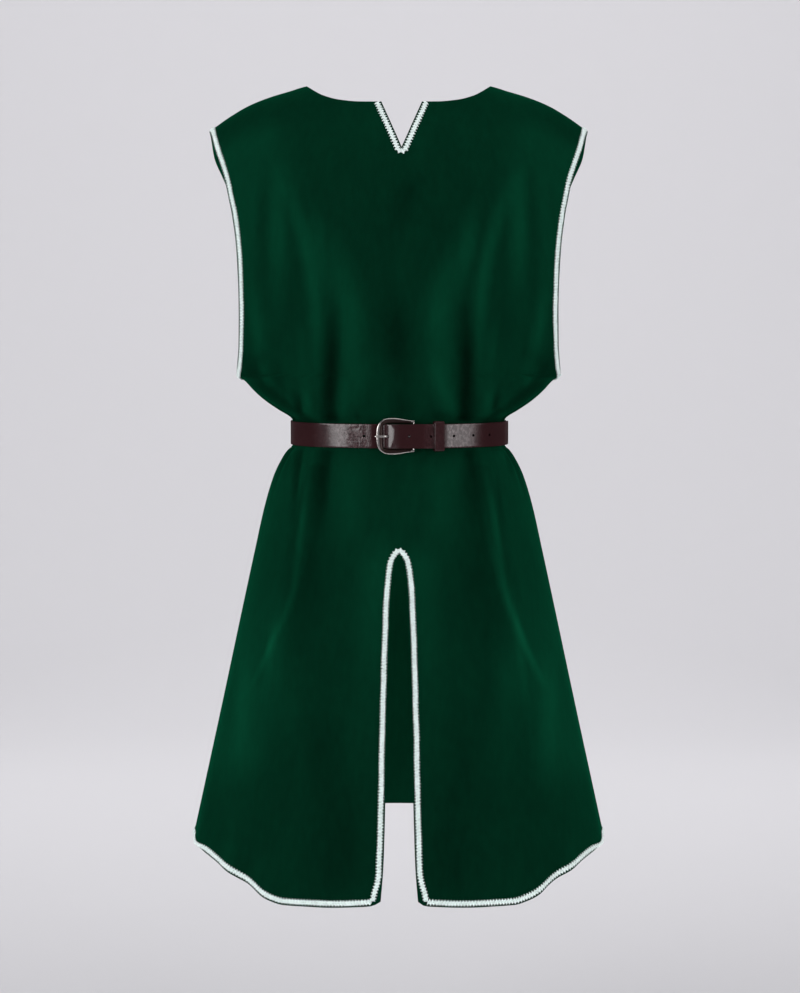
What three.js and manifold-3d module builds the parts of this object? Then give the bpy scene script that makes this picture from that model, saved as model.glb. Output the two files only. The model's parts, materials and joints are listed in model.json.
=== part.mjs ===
// Sleeveless medieval tunic dress with its own belt, filled out as it is when worn.
// Millimetres, +X to the viewer's right, +Y to the back, +Z up. The origin is midway between the
// two neck points, on the underside of the cloth, where the wearer's shoulders carry it.
//
// The cloth is one smooth sheet that hangs from the shoulder ridge. A place on it has two values.
// The angle runs from 0 at the centre to 90 degrees at the side seam. The level is a height: from
// the chest down it is the true height, and from the chest up it is the height that the place
// would have if the shoulders were square and level.

import * as THREE from "three";
import Module from "manifold-3d";
import { mergeVertices } from "three/addons/utils/BufferGeometryUtils.js";

const wasm = await Module();
wasm.setup();

// Cloth and sewing
const clothWall = 2;
const seamGap = 0.3;
const braidWidth = 9;
const braidThickness = 1.8;
const braidInset = 1.2;
const braidLift = 0.45;

// Heights that the cut is worked out from
const chestLevel = -300;
const yokeLevel = -130;
const armholeEndLevel = -382;
const beltTop = -441;
const beltBottom = -475;
const hemBlendLevel = -930;

// Front notch and slit
const notchApexHeight = -85.3;
const notchTopHeight = -24.9;
const notchHalfWidth = 26;
const notchCentre = 4;
const slitApexLevel = -611;
const slitCentre = 1;

// Neck opening
const neckHalfWidth = 122;
const backNeckDrop = 78;
const backNeckRoundness = 2.2;

// Belt
const strapWidth = 31.4;
const strapThickness = 2;
const strapClearance = 0.5;
const beltMiddle = (beltTop + beltBottom) / 2;
const holeDiameter = 3.5;
const prongHoleStation = -15.6;
const strapTipBeyondLastHole = 75;
const tipNarrowing = 9;
const overlapOut = 3.85;

// Buckle, by its distance along the belt and out from the cloth
const barAlong = 19;
const barDiameter = 2.4;
const barOut = 6;
const frameLength = 49.4;
const frameHeight = 47.4;
const toeRestWidth = 4;
const toeBandWidth = 7.6;
const armWidth = 7.3;
const heelNarrowing = 3.2;
const toeOut = 8.4;
const prongWidth = 2.8;
const prongHoleLength = 9;
const prongHoleOut = 8.8;
const foldSlotLength = 14;
const slotHeight = 4;

// Folded end of the strap round the bar, and the strap's run under the keeper
const foldRadius = barDiameter * Math.SQRT1_2 + 0.3 + strapThickness / 2;
const foldedEndAlong = 36;
const underKeeperFrom = 40;
const underKeeperTo = 62;
const backOnClothAlong = 86;
const overlapBefore = 62;

// Keeper
const keeperStart = 44.4;
const keeperEnd = 57.3;
const keeperHeight = 38.8;
const keeperLeather = 1.2;
const keeperOut = 0.9;
const keeperReach = 13.4;

// Level sections of the body. side is the half width at the side seam, front and back are the
// depths at the centre, and square is the superellipse exponent.
const sections = [
  { level: 0, side: 268, front: 117, back: 108, square: 2.4 },
  { level: -43, side: 263, front: 117, back: 108, square: 2.4 },
  { level: -83, side: 258, front: 117, back: 108, square: 2.4 },
  { level: -130, side: 252, front: 117, back: 108, square: 2.4 },
  { level: -206, side: 247, front: 117, back: 108, square: 2.4 },
  { level: -300, side: 243, front: 117, back: 108, square: 2.4 },
  { level: -340, side: 236, front: 116, back: 107, square: 2.4 },
  { level: -361, side: 228, front: 115, back: 106, square: 2.4 },
  { level: -374, side: 220, front: 114.4, back: 105.4, square: 2.4 },
  { level: -382, side: 215.5, front: 114, back: 105, square: 2.4 },
  { level: -389, side: 205.6, front: 113.4, back: 104.4, square: 2.38 },
  { level: -402, side: 193.6, front: 112, back: 103, square: 2.35 },
  { level: -415, side: 179, front: 110.5, back: 101.5, square: 2.32 },
  { level: -429, side: 158.5, front: 107.4, back: 98.4, square: 2.3 },
  { level: -436.5, side: 146, front: 105.4, back: 96.4, square: 2.3 },
  { level: -441, side: 142, front: 105, back: 96, square: 2.3 },
  { level: -475, side: 142, front: 105, back: 96, square: 2.3 },
  { level: -482, side: 149, front: 105.9, back: 97.6, square: 2.28 },
  { level: -496, side: 158, front: 110, back: 103, square: 2.24 },
  { level: -516, side: 167.4, front: 113, back: 108, square: 2.2 },
  { level: -556, side: 179.6, front: 118.5, back: 116, square: 2.16 },
  { level: -617, side: 193.4, front: 126, back: 126, square: 2.12 },
  { level: -699, side: 211.4, front: 135, back: 135, square: 2.1 },
  { level: -821, side: 237.8, front: 147, back: 146, square: 2.1 },
  { level: -945, side: 265.2, front: 158, back: 157, square: 2.1 },
  { level: -1066, side: 292, front: 168, back: 167, square: 2.1 },
];

// Top of the shoulders across the body. Inside the neck it is carried on to shape the cloth there.
const shoulderRidge = [
  { across: 0, height: 12 },
  { across: 60, height: 9.5 },
  { across: 122, height: 0 },
  { across: 144, height: -6.5 },
  { across: 170.4, height: -14.4 },
  { across: 197, height: -24.9 },
  { across: 223.6, height: -40 },
  { across: 250.9, height: -59 },
  { across: 275, height: -76 },
];

// Half width of the cloth at the armhole edges
const armholeEdges = [
  { level: 0, front: 250.9, back: 250.9 },
  { level: -43, front: 241, back: 247 },
  { level: -83, front: 231, back: 236.5 },
  { level: -107, front: 225.3, back: 229.5 },
  { level: -130, front: 221.2, back: 224 },
  { level: -153, front: 217.2, back: 220 },
  { level: -206, front: 211.6, back: 214.4 },
  { level: -293, front: 208.2, back: 211 },
  { level: -340, front: 209.4, back: 211.5 },
  { level: -361, front: 211.6, back: 212.9 },
  { level: -376, front: 214.3, back: 214.8 },
  { level: -382, front: 215.5, back: 215.5 },
];

// Rows beside the armhole's foot sag by drop, and crowd towards the side seam by a share of the
// width, so that they meet its round edge squarely
const armholeFoot = [
  { level: -310, drop: 0, crowd: 0 },
  { level: -332, drop: 2, crowd: 0 },
  { level: -350, drop: 5, crowd: 0 },
  { level: -366, drop: 10, crowd: 0 },
  { level: -376, drop: 12, crowd: 0.015 },
  { level: -382, drop: 10, crowd: 0.045 },
  { level: -395, drop: 3, crowd: 0.02 },
  { level: -407, drop: 0, crowd: 0 },
];
const footShares = [0.6, 0.9];

// Top edge of the front panel from the centre to the neck point
const frontNeckline = [
  { across: 0, height: -24.9 },
  { across: 50, height: -24.5 },
  { across: 78, height: -21.6 },
  { across: 99, height: -15.2 },
  { across: 111, height: -8.2 },
  { across: 122, height: 0 },
];

// Half width of the slit, by the distance below its top
const slitOpening = [
  { below: 0, half: 0 },
  { below: 4, half: 3.2 },
  { below: 12, half: 6.2 },
  { below: 31, half: 8.8 },
  { below: 60, half: 11 },
  { below: 110, half: 13 },
  { below: 225, half: 16.2 },
  { below: 323, half: 18.2 },
  { below: 400, half: 20.6 },
  { below: 450, half: 24.5 },
];

// Hem heights across the body
const frontHem = [
  { across: 0, height: -1060 },
  { across: 110, height: -1065 },
  { across: 150, height: -1065 },
  { across: 172, height: -1060 },
  { across: 195, height: -1049 },
  { across: 220, height: -1037 },
  { across: 247, height: -1023 },
  { across: 265, height: -1014 },
  { across: 277, height: -1004 },
  { across: 292, height: -1003 },
];
const backHem = [
  { across: 0, height: -998 },
  { across: 200, height: -998 },
  { across: 277, height: -1004 },
  { across: 292, height: -1004 },
];

// Largest folds. A fold is strongest at its from level and fades out at its to level. at and away
// are its places there: across the body for a fold of the front or back, and from the side seam
// towards the back for one of the side. A negative depth is a valley. Each is mirrored, and
// lean moves the one on the viewer's left and scales its depth, because no two gathers are alike.
const folds = [
  { on: "front", from: -437, to: -262, at: 87, away: 84, depth: -9, width: 19, lean: 1.02 },
  { on: "front", from: -424, to: -262, at: 60, away: 57, depth: 2.5, width: 18, lean: 0.97 },
  { on: "front", from: -425, to: -330, at: 117, away: 128, depth: 3, width: 13, lean: 1.0 },
  { on: "front", from: -389, to: -335, at: 165, away: 186, depth: 3.5, width: 14, lean: 1.0 },
  { on: "front", from: -480, to: -665, at: 94, away: 124, depth: -8, width: 17, lean: 1.0 },
  { on: "front", from: -500, to: -790, at: 112, away: 182, depth: 5, width: 19, lean: 1.0 },
  { on: "front", from: -481, to: -545, at: 129, away: 136, depth: -5, width: 11, lean: 1.02 },
  { on: "front", from: -1063, to: -700, at: 205, away: 176, depth: -5, width: 26, lean: 0.98 },
  { on: "back", from: -437, to: -270, at: 80, away: 86, depth: -9, width: 19, lean: 1.04 },
  { on: "back", from: -434, to: -330, at: 44, away: 40, depth: -4, width: 17, lean: 0.9 },
  { on: "back", from: -428, to: -330, at: 113, away: 126, depth: 3, width: 14, lean: 1.0 },
  { on: "back", from: -480, to: -690, at: 84, away: 112, depth: -8, width: 18, lean: 1.03 },
  { on: "back", from: -500, to: -830, at: 106, away: 178, depth: 5, width: 20, lean: 0.98 },
  { on: "back", from: -482, to: -570, at: 48, away: 54, depth: -4, width: 17, lean: 1.05 },
  { on: "back", from: -1000, to: -700, at: 200, away: 170, depth: -6, width: 27, lean: 1.0 },
  { on: "side", from: -437, to: -398, at: -32, away: -40, depth: -5, width: 12, lean: 1.0 },
  { on: "side", from: -437, to: -396, at: 2, away: 4, depth: -5, width: 12, lean: 1.0 },
  { on: "side", from: -437, to: -398, at: 35, away: 44, depth: -5, width: 12, lean: 1.0 },
  { on: "side", from: -480, to: -560, at: -28, away: -44, depth: -5, width: 12, lean: 1.0 },
  { on: "side", from: -480, to: -590, at: 6, away: 10, depth: -5, width: 12, lean: 1.0 },
  { on: "side", from: -480, to: -560, at: 38, away: 52, depth: -5, width: 12, lean: 1.0 },
  { on: "side", from: -1004, to: -640, at: -52, away: -30, depth: 5, width: 26, lean: 1.0 },
  { on: "side", from: -1004, to: -640, at: 56, away: 34, depth: 5, width: 26, lean: 1.0 },
];
const foldStartLength = 9;
const foldPressUnderBelt = 0.25;

// Punched holes of the strap, by their distance along the belt from the centre front and the
// distance of the strap's middle from the cloth there
const strapHoles = [
  { along: -44.4, out: 2.5 },
  { along: 13.3, out: 12.2 },
  { along: 40.2, out: 11.7 },
  { along: 70.8, out: 5.7 },
  { along: 98.4, out: 4.2 },
  { along: 124.5, out: 4.2 },
];

// Middle line of the strap's overlap, as it rises over the buckle's toe, lies on the fold, goes
// through the keeper and comes down on the strap below. along is measured past one full turn.
const strapOverlap = [
  { along: -52, out: 1.8 },
  { along: -42, out: 2.7 },
  { along: -32, out: 4.2 },
  { along: -26, out: 4.5 },
  { along: -18.2, out: 5.2 },
  { along: -11.2, out: 11.2 },
  { along: -8, out: 11.7 },
  { along: 0, out: 11.6 },
  { along: 14, out: 11.4 },
  { along: 36, out: 11.3 },
  { along: 46, out: 10.2 },
  { along: 57, out: 7.8 },
  { along: 66, out: 6.2 },
  { along: 78, out: 4.9 },
  { along: 90, out: 4.1 },
  { along: 104, out: overlapOut },
];

// Rounding of the strap's tip: the share of the narrowing at a distance before the end
const strapTip = [
  { before: 12, narrowed: 0.15 },
  { before: 6, narrowed: 0.5 },
  { before: 2, narrowed: 0.8 },
  { before: 0, narrowed: 1 },
];

// Side view of the prong, from its foot in front of the bar to its tip on the toe bar
const prongSide = [
  { along: 20.5, low: 7.5, high: 9.2 },
  { along: 14, low: 7.5, high: 9.4 },
  { along: -10, low: 7.6, high: 9.2 },
  { along: -14, low: 8, high: 9.6 },
  { along: -20, low: 10.2, high: 11.8 },
  { along: -24, low: 10.4, high: 12 },
  { along: -29.6, low: 10.5, high: 11.4 },
];

// Where the grid of each panel has its lines. Columns are shares of the way from the centre edge
// to the side edge. The column that ends at the neck point has its number here, and those nearer
// the centre end evenly along the neckline.
const frontColumns = [
  0, 0.048, 0.1, 0.155, 0.205, 0.25, 0.3, 0.345, 0.39, 0.435, 0.48, 0.525, 0.57, 0.615,
  0.665, 0.715, 0.765, 0.82, 0.905, 1,
];
const backColumns = [
  0, 0.06, 0.12, 0.175, 0.23, 0.285, 0.34, 0.4, 0.455, 0.51, 0.565, 0.62, 0.675, 0.73, 0.8, 0.905, 1,
];
const neckColumn = { front: 6, back: 6 };
const frontYokeShares = [0, 0.22, 0.45, "notch", 0.84, 1];
const backYokeShares = [0, 0.25, 0.5, 0.75, 1];
const bodyLevels = [
  -155, -187, -222, -260, -300, -332, -350, -366, -376, armholeEndLevel, -395, -407, -419, -429, -436.5,
  beltTop, beltBottom, -481, -490, -503, -522, -548, -580, slitApexLevel,
];
const frontSkirtLevels = [-625, -646, -680, -735, -795, -860, hemBlendLevel];
const backSkirtLevels = [-655, -720, -790, -860, hemBlendLevel];
const hemShares = [0.5, 0.85, 1];

const radians = THREE.MathUtils.degToRad;

// Value of a column of a table at a place, on a smooth curve that never overshoots its rows
function readTable(table, key, place, column) {
  const direction = Math.sign(table[table.length - 1][key] - table[0][key]);
  let i = 0;
  while (i < table.length - 2 && direction * (place - table[i + 1][key]) > 0) i += 1;
  const slope = (k) => (table[k + 1][column] - table[k][column]) / (table[k + 1][key] - table[k][key]);
  const tangent = (k) => {
    if (k === 0) return slope(0);
    if (k === table.length - 1) return slope(k - 1);
    const before = slope(k - 1);
    const after = slope(k);
    return before * after <= 0 ? 0 : (2 * before * after) / (before + after);
  };
  const width = table[i + 1][key] - table[i][key];
  const t = THREE.MathUtils.clamp((place - table[i][key]) / width, 0, 1);
  const start = table[i][column];
  const end = table[i + 1][column];
  const t2 = t * t;
  const t3 = t2 * t;
  return (
    (2 * t3 - 3 * t2 + 1) * start +
    (t3 - 2 * t2 + t) * width * tangent(i) +
    (3 * t2 - 2 * t3) * end +
    (t3 - t2) * width * tangent(i + 1)
  );
}

const sectionAt = (level, column) => readTable(sections, "level", level, column);
const ridgeAt = (across) => readTable(shoulderRidge, "across", Math.abs(across), "height");

// Signed distance across the body for an angle from the centre, and the reverse
function acrossAt(angle, level) {
  const share = Math.abs(Math.sin(radians(angle))) ** (2 / sectionAt(level, "square"));
  return Math.sign(angle) * sectionAt(level, "side") * share;
}

function angleAt(across, level) {
  const share = Math.min(1, Math.abs(across) / sectionAt(level, "side"));
  const sine = share ** (sectionAt(level, "square") / 2);
  return Math.sign(across) * THREE.MathUtils.radToDeg(Math.asin(sine));
}

const heightOf = (level, across) =>
  level > chestLevel
    ? chestLevel + ((level - chestLevel) * (ridgeAt(across) - chestLevel)) / -chestLevel
    : level;
const levelOf = (height, across) =>
  chestLevel + ((height - chestLevel) * -chestLevel) / (ridgeAt(across) - chestLevel);
const levelOfTurn = (turn) => chestLevel * (1 - Math.cos(turn));
const turnOfLevel = (level) => Math.acos(THREE.MathUtils.clamp(1 - level / chestLevel, -1, 1));

// How strongly a fold shows at a level: full at its from end, a short soft start, a long fade
function foldStrength(fold, level) {
  const t = (level - fold.from) / (fold.to - fold.from);
  const beyond = -t * Math.abs(fold.to - fold.from);
  if (t >= 1 || beyond >= foldStartLength) return 0;
  if (t < 0) return THREE.MathUtils.smoothstep(foldStartLength - beyond, 0, foldStartLength);
  return 1 - THREE.MathUtils.smoothstep(t, 0, 1);
}

// How far the folds move a place of the sheet along its outward normal
function foldDepth(point, angle, level) {
  let depth = 0;
  const steep = THREE.MathUtils.smoothstep(Math.abs(angle), 50, 72);
  for (const fold of folds) {
    const strength = foldStrength(fold, level);
    if (strength === 0 || (fold.on !== "side" && (fold.on === "front") !== point.y < 0)) continue;
    const share = fold.on === "side" ? steep : 1 - steep * 0.8;
    const lean = angle < 0 ? fold.lean : 1;
    const t = THREE.MathUtils.clamp((level - fold.from) / (fold.to - fold.from), 0, 1);
    const middle = THREE.MathUtils.lerp(fold.at, fold.away, t) * (fold.on === "side" ? 1 : lean);
    const place = fold.on === "side" ? point.y : Math.abs(point.x);
    const distance = Math.abs(place - middle) / fold.width;
    const round = distance < 1 ? (1 + Math.cos(Math.PI * distance)) / 2 : 0;
    depth += fold.depth * lean * share * strength * round;
  }
  const pressed = level < beltTop + 1 && level > beltBottom - 1;
  return pressed ? Math.min(0, depth * foldPressUnderBelt) : depth;
}

// A place on the outer face of the sheet. facing is "front" or "back".
function clothPoint(facing, angle, level) {
  const across = acrossAt(angle, level);
  const square = sectionAt(level, "square");
  const depth = sectionAt(level, facing);
  const cosine = Math.abs(Math.cos(radians(angle))) ** (2 / square);
  const turned = level > chestLevel ? Math.sin(turnOfLevel(level)) : 1;
  const sign = facing === "front" ? -1 : 1;
  const point = new THREE.Vector3(across, sign * depth * cosine * turned, heightOf(level, across));
  const side = sectionAt(level, "side");
  const outward = new THREE.Vector3(
    (Math.sign(across) * (Math.abs(across) / side) ** (square - 1)) / side,
    (sign * Math.max(cosine, 1e-6) ** (square - 1)) / depth,
    0,
  ).normalize();
  return point.addScaledVector(outward, foldDepth(point, angle, level));
}

// Across place of the edge nearest the centre: the notch, the uncut centre, or the slit
function centreEdge(facing, hand, level) {
  if (facing === "back") return 0;
  const apex = levelOf(notchApexHeight, 0);
  const top = levelOf(notchTopHeight, 0);
  if (level > apex) {
    return notchCentre + (hand * notchHalfWidth * (level - apex)) / (top - apex);
  }
  if (level < slitApexLevel) {
    return slitCentre + hand * readTable(slitOpening, "below", slitApexLevel - level, "half");
  }
  return THREE.MathUtils.lerp(notchCentre, slitCentre, (apex - level) / (apex - slitApexLevel));
}

function sideEdgeAngle(facing, level) {
  if (level <= armholeEndLevel) return 90;
  return angleAt(readTable(armholeEdges, "level", level, facing), level);
}

function angleOfShare(facing, hand, share, level) {
  const inner = angleAt(centreEdge(facing, hand, level), level);
  const outer = hand * sideEdgeAngle(facing, level);
  return THREE.MathUtils.lerp(inner, outer, share);
}

// Top edge level of a column: the neckline inside the neck points, and the ridge outside them
function topLevel(facing, hand, share) {
  const settleSteps = 8;
  let level = facing === "front" ? levelOf(notchTopHeight, 0) : -backNeckDrop;
  for (let step = 0; step < settleSteps; step += 1) {
    const across = Math.abs(acrossAt(angleOfShare(facing, hand, share, level), level));
    if (across >= neckHalfWidth - 1e-6) {
      level = 0;
    } else if (facing === "front") {
      level = levelOf(readTable(frontNeckline, "across", across, "height"), across);
    } else {
      const round = Math.max(0, 1 - (across / neckHalfWidth) ** backNeckRoundness);
      level = levelOf(-backNeckDrop * round ** (1 / backNeckRoundness), across);
    }
  }
  return Math.min(0, level);
}

// Share of the column that starts at the neck point
function neckShare(facing, hand) {
  const inner = angleAt(centreEdge(facing, hand, 0), 0);
  const outer = hand * sideEdgeAngle(facing, 0);
  return (angleAt(hand * neckHalfWidth, 0) - inner) / (outer - inner);
}

// Shares at the top edge of the columns of a half panel, beside their shares in the body
function columnShares(facing, hand) {
  const body = facing === "front" ? frontColumns : backColumns;
  const neck = neckShare(facing, hand);
  const samples = 120;
  const line = [];
  for (let i = 0; i <= samples; i += 1) {
    const share = (neck * i) / samples;
    const level = topLevel(facing, hand, share);
    const point = clothPoint(facing, angleOfShare(facing, hand, share, level), level);
    const along = i === 0 ? 0 : line[i - 1].along + point.distanceTo(line[i - 1].point);
    line.push({ share, point, along });
  }
  const last = neckColumn[facing];
  return body.map((share, column) => {
    if (column > last) {
      const outside = (share - body[last]) / (1 - body[last]);
      return { body: share, top: neck + (1 - neck) * outside };
    }
    const wanted = (line[samples].along * column) / last;
    return { body: share, top: line.find(({ along }) => along >= wanted - 1e-6).share };
  });
}

// Height of the hem under a column
function hemLevel(facing, hand, share) {
  const table = facing === "front" ? frontHem : backHem;
  const settleSteps = 5;
  let level = table[0].height;
  for (let step = 0; step < settleSteps; step += 1) {
    const across = Math.abs(acrossAt(angleOfShare(facing, hand, share, level), level));
    level = readTable(table, "across", across, "height");
  }
  return level;
}

// Places of one column, from the top edge to the hem. edgeLevel is the level of the row's side
// edge, which its share is measured to.
function columnPlaces(facing, hand, column) {
  const top = turnOfLevel(topLevel(facing, hand, column.top));
  const yoke = turnOfLevel(yokeLevel);
  const centreTop = turnOfLevel(topLevel(facing, hand, 0));
  const notchShare = (turnOfLevel(levelOf(notchApexHeight, 0)) - centreTop) / (yoke - centreTop);
  const yokeShares = facing === "front" ? frontYokeShares : backYokeShares;
  const skirt = facing === "front" ? frontSkirtLevels : backSkirtLevels;
  const hem = hemLevel(facing, hand, column.body);
  const yokePlaces = yokeShares.map((s) => {
    const part = s === "notch" ? notchShare : s;
    const level = levelOfTurn(THREE.MathUtils.lerp(top, yoke, part));
    return { level, edgeLevel: level, share: THREE.MathUtils.lerp(column.top, column.body, part) };
  });
  const hemLevels = hemShares.map((s) => THREE.MathUtils.lerp(hemBlendLevel, hem, s));
  const levels = [...bodyLevels, ...skirt, ...hemLevels];
  const nearFoot = column.body < 1 ? THREE.MathUtils.smoothstep(column.body, ...footShares) : 0;
  const bodyPlaces = levels.map((level) => ({
    level: level - nearFoot * readTable(armholeFoot, "level", level, "drop"),
    edgeLevel: level,
    share: column.body + nearFoot * readTable(armholeFoot, "level", level, "crowd"),
  }));
  return [...yokePlaces, ...bodyPlaces];
}

// One panel of cloth as a grid of outer points. The two halves share the points of the centre
// line where the cloth isn't cut open. Rows run down, and columns run from the centre out.
function makePanel(facing) {
  const points = [];
  const ids = { 1: [], [-1]: [] };
  const seamSide = facing === "front" ? -1 : 1;
  const notchRow = facing === "front" ? frontYokeShares.indexOf("notch") : -1;
  const yokeRows = facing === "front" ? frontYokeShares.length : backYokeShares.length;
  const slitRow = yokeRows + bodyLevels.indexOf(slitApexLevel);
  for (const hand of [1, -1]) {
    const places = columnShares(facing, hand).map((column) => columnPlaces(facing, hand, column));
    for (let row = 0; row < places[0].length; row += 1) {
      ids[hand].push([]);
      const open = facing === "front" && (row < notchRow || row > slitRow);
      places.forEach((list, column) => {
        if (hand < 0 && column === 0 && !open) {
          ids[hand][row].push(ids[1][row][0]);
          return;
        }
        const { level, edgeLevel, share } = list[row];
        const point = clothPoint(facing, angleOfShare(facing, hand, share, edgeLevel), level);
        if (point.y * seamSide < seamGap / 2) point.y = (seamSide * seamGap) / 2;
        ids[hand][row].push(points.length);
        points.push(point);
      });
    }
  }
  const panel = { facing, points, ids, notchRow, slitRow };
  panel.cornerRow = yokeRows + bodyLevels.indexOf(armholeEndLevel);
  panel.lastRow = ids[1].length - 1;
  panel.lastColumn = ids[1][0].length - 1;
  panel.faces = panelFaces(panel);
  panel.normals = vertexNormals(points, panel.faces);
  return panel;
}

// Triangles of a panel with their outer faces outward. A cell is split along the diagonal that
// lies lower, so that a braid that bridges it stays clear, but the cell at the notch's foot, at the
// slit's top or under the arm is split where the braid is mitred.
function panelFaces(panel) {
  const { points, notchRow, slitRow, cornerRow, lastColumn } = panel;
  const frontSign = panel.facing === "front" ? 1 : -1;
  const faces = [];
  const heightOfSplit = (a, b, c, d, sign) => {
    const ac = new THREE.Vector3().subVectors(points[c], points[a]);
    const bd = new THREE.Vector3().subVectors(points[d], points[b]);
    const outward = new THREE.Vector3().crossVectors(bd, ac).multiplyScalar(sign);
    const apart = new THREE.Vector3().addVectors(points[a], points[c]).sub(points[b]).sub(points[d]);
    return apart.dot(outward);
  };
  const splitFromInside = (row, column, corners, sign) => {
    if (column === 0 && row === notchRow) return true;
    if (column === 0 && row === slitRow - 1) return false;
    if (column === lastColumn - 1 && row === cornerRow) return false;
    return heightOfSplit(...corners, sign) < 0;
  };
  for (const hand of [1, -1]) {
    const grid = panel.ids[hand];
    for (let row = 0; row < panel.lastRow; row += 1) {
      for (let column = 0; column < panel.lastColumn; column += 1) {
        const a = grid[row][column];
        const b = grid[row][column + 1];
        const c = grid[row + 1][column + 1];
        const d = grid[row + 1][column];
        const sign = hand * frontSign;
        const inside = splitFromInside(row, column, [a, b, c, d], sign);
        const cell = inside ? [[a, d, c], [a, c, b]] : [[a, d, b], [b, d, c]];
        for (const face of cell) faces.push(sign > 0 ? face : [face[0], face[2], face[1]]);
      }
    }
  }
  return faces;
}

function vertexNormals(points, faces) {
  const normals = points.map(() => new THREE.Vector3());
  for (const face of faces) {
    const [a, b, c] = face.map((id) => points[id]);
    const normal = new THREE.Vector3().subVectors(b, a).cross(new THREE.Vector3().subVectors(c, a));
    for (const id of face) normals[id].add(normal);
  }
  return normals.map((normal) => normal.normalize());
}

function geometryOf(points, faces) {
  const geometry = new THREE.BufferGeometry();
  const places = points.flatMap((point) => [point.x, point.y, point.z]);
  geometry.setAttribute("position", new THREE.Float32BufferAttribute(places, 3));
  geometry.setIndex(faces.flat());
  return geometry;
}

// Closed wall: the outer faces, the same faces moved in by the cloth's thickness, and the rims
function wallGeometry(panel) {
  const count = panel.points.length;
  const seamSide = panel.facing === "front" ? -1 : 1;
  const inner = panel.points.map((point, id) => {
    const moved = point.clone().addScaledVector(panel.normals[id], -clothWall);
    if (moved.y * seamSide < seamGap / 2) moved.y = (seamSide * seamGap) / 2;
    return moved;
  });
  const faces = [...panel.faces, ...panel.faces.map(([a, b, c]) => [a + count, c + count, b + count])];
  const edges = new Set(panel.faces.flatMap(([a, b, c]) => [`${a},${b}`, `${b},${c}`, `${c},${a}`]));
  for (const edge of edges) {
    const [a, b] = edge.split(",").map(Number);
    if (edges.has(`${b},${a}`)) continue;
    faces.push([b, a, a + count], [b, a + count, b + count]);
  }
  return geometryOf([...panel.points, ...inner], faces);
}

// A station of a braid: it runs from a point of the panel's edge towards a neighbour point, and
// lies on the face between them, moved out
function braidStation(panel, edgeId, towardId, start = braidInset) {
  const edge = panel.points[edgeId];
  const toward = panel.points[towardId];
  const length = edge.distanceTo(toward);
  const [edgeNormal, towardNormal] = [panel.normals[edgeId], panel.normals[towardId]];
  const place = (distance, lift) => {
    const t = distance / length;
    const normal = new THREE.Vector3().lerpVectors(edgeNormal, towardNormal, t).normalize();
    return new THREE.Vector3().lerpVectors(edge, toward, t).addScaledVector(normal, lift);
  };
  const far = start + braidWidth;
  const top = braidLift + braidThickness;
  return [place(start, braidLift), place(far, braidLift), place(far, top), place(start, top)];
}

// Closed strip through stations of four corners, each named round the strip's section
function stripGeometry(stations, closed = false) {
  const faces = [];
  const points = stations.flat();
  const count = stations.length;
  const steps = closed ? count : count - 1;
  for (let i = 0; i < steps; i += 1) {
    const here = 4 * i;
    const next = 4 * ((i + 1) % count);
    for (let corner = 0; corner < 4; corner += 1) {
      const other = (corner + 1) % 4;
      faces.push([here + corner, next + corner, next + other], [here + corner, next + other, here + other]);
    }
  }
  if (!closed) {
    const end = 4 * (count - 1);
    faces.push([0, 1, 2], [0, 2, 3], [end, end + 2, end + 1], [end, end + 3, end + 2]);
  }
  const geometry = geometryOf(points, faces);
  return signedVolume(geometry) < 0 ? geometryOf(points, faces.map(([a, b, c]) => [a, c, b])) : geometry;
}

function signedVolume(geometry) {
  const position = geometry.getAttribute("position");
  const index = geometry.getIndex();
  const [a, b, c] = [0, 1, 2].map(() => new THREE.Vector3());
  let volume = 0;
  for (let i = 0; i < index.count; i += 3) {
    [a, b, c].forEach((point, corner) => point.fromBufferAttribute(position, index.getX(i + corner)));
    volume += a.dot(b.cross(c)) / 6;
  }
  return volume;
}

// Braid round the notch, mitred at its foot
function neckBraid(panel) {
  const { ids, notchRow } = panel;
  const side = (hand) => {
    const stations = [];
    for (let row = 0; row <= notchRow; row += 1) {
      stations.push(braidStation(panel, ids[hand][row][0], ids[hand][row][1]));
    }
    stations.push(braidStation(panel, ids[hand][notchRow][0], ids[hand][notchRow + 1][1]));
    return stations;
  };
  const foot = braidStation(panel, ids[1][notchRow][0], ids[1][notchRow + 1][0]);
  return stripGeometry([...side(1), foot, ...side(-1).reverse()]);
}

// Braid up one edge of the slit, round its top and down the other edge
function slitBraid(panel) {
  const { ids, slitRow, lastRow } = panel;
  const side = (hand) => {
    const stations = [];
    for (let row = lastRow; row >= slitRow; row -= 1) {
      stations.push(braidStation(panel, ids[hand][row][0], ids[hand][row][1]));
    }
    stations.push(braidStation(panel, ids[hand][slitRow][0], ids[hand][slitRow - 1][1]));
    return stations;
  };
  const top = braidStation(panel, ids[1][slitRow][0], ids[1][slitRow - 1][0]);
  return stripGeometry([...side(1), top, ...side(-1).reverse()]);
}

// Braid along the hem of one half of a panel, from a share of its first column to the side seam
function hemStations(panel, hand, firstColumn) {
  const stations = [];
  for (let column = firstColumn; column <= panel.lastColumn; column += 1) {
    const edge = panel.ids[hand][panel.lastRow][column];
    const above = panel.ids[hand][panel.lastRow - 1][column];
    stations.push(braidStation(panel, edge, above));
  }
  return stations;
}

// The front hem's braid starts clear of the slit's braid, on the line to the first column
function frontHemBraid(panel, hand) {
  const stations = hemStations(panel, hand, 0);
  const clear = braidInset + braidWidth + 1.3 * seamGap;
  const cut = stations[0].map((corner, i) => {
    const next = stations[1][i];
    return corner.clone().lerp(next, clear / corner.distanceTo(next));
  });
  return stripGeometry([cut, ...stations.slice(1)]);
}

function backHemBraid(panel) {
  return stripGeometry([...hemStations(panel, 1, 1).reverse(), ...hemStations(panel, -1, 0)]);
}

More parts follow.
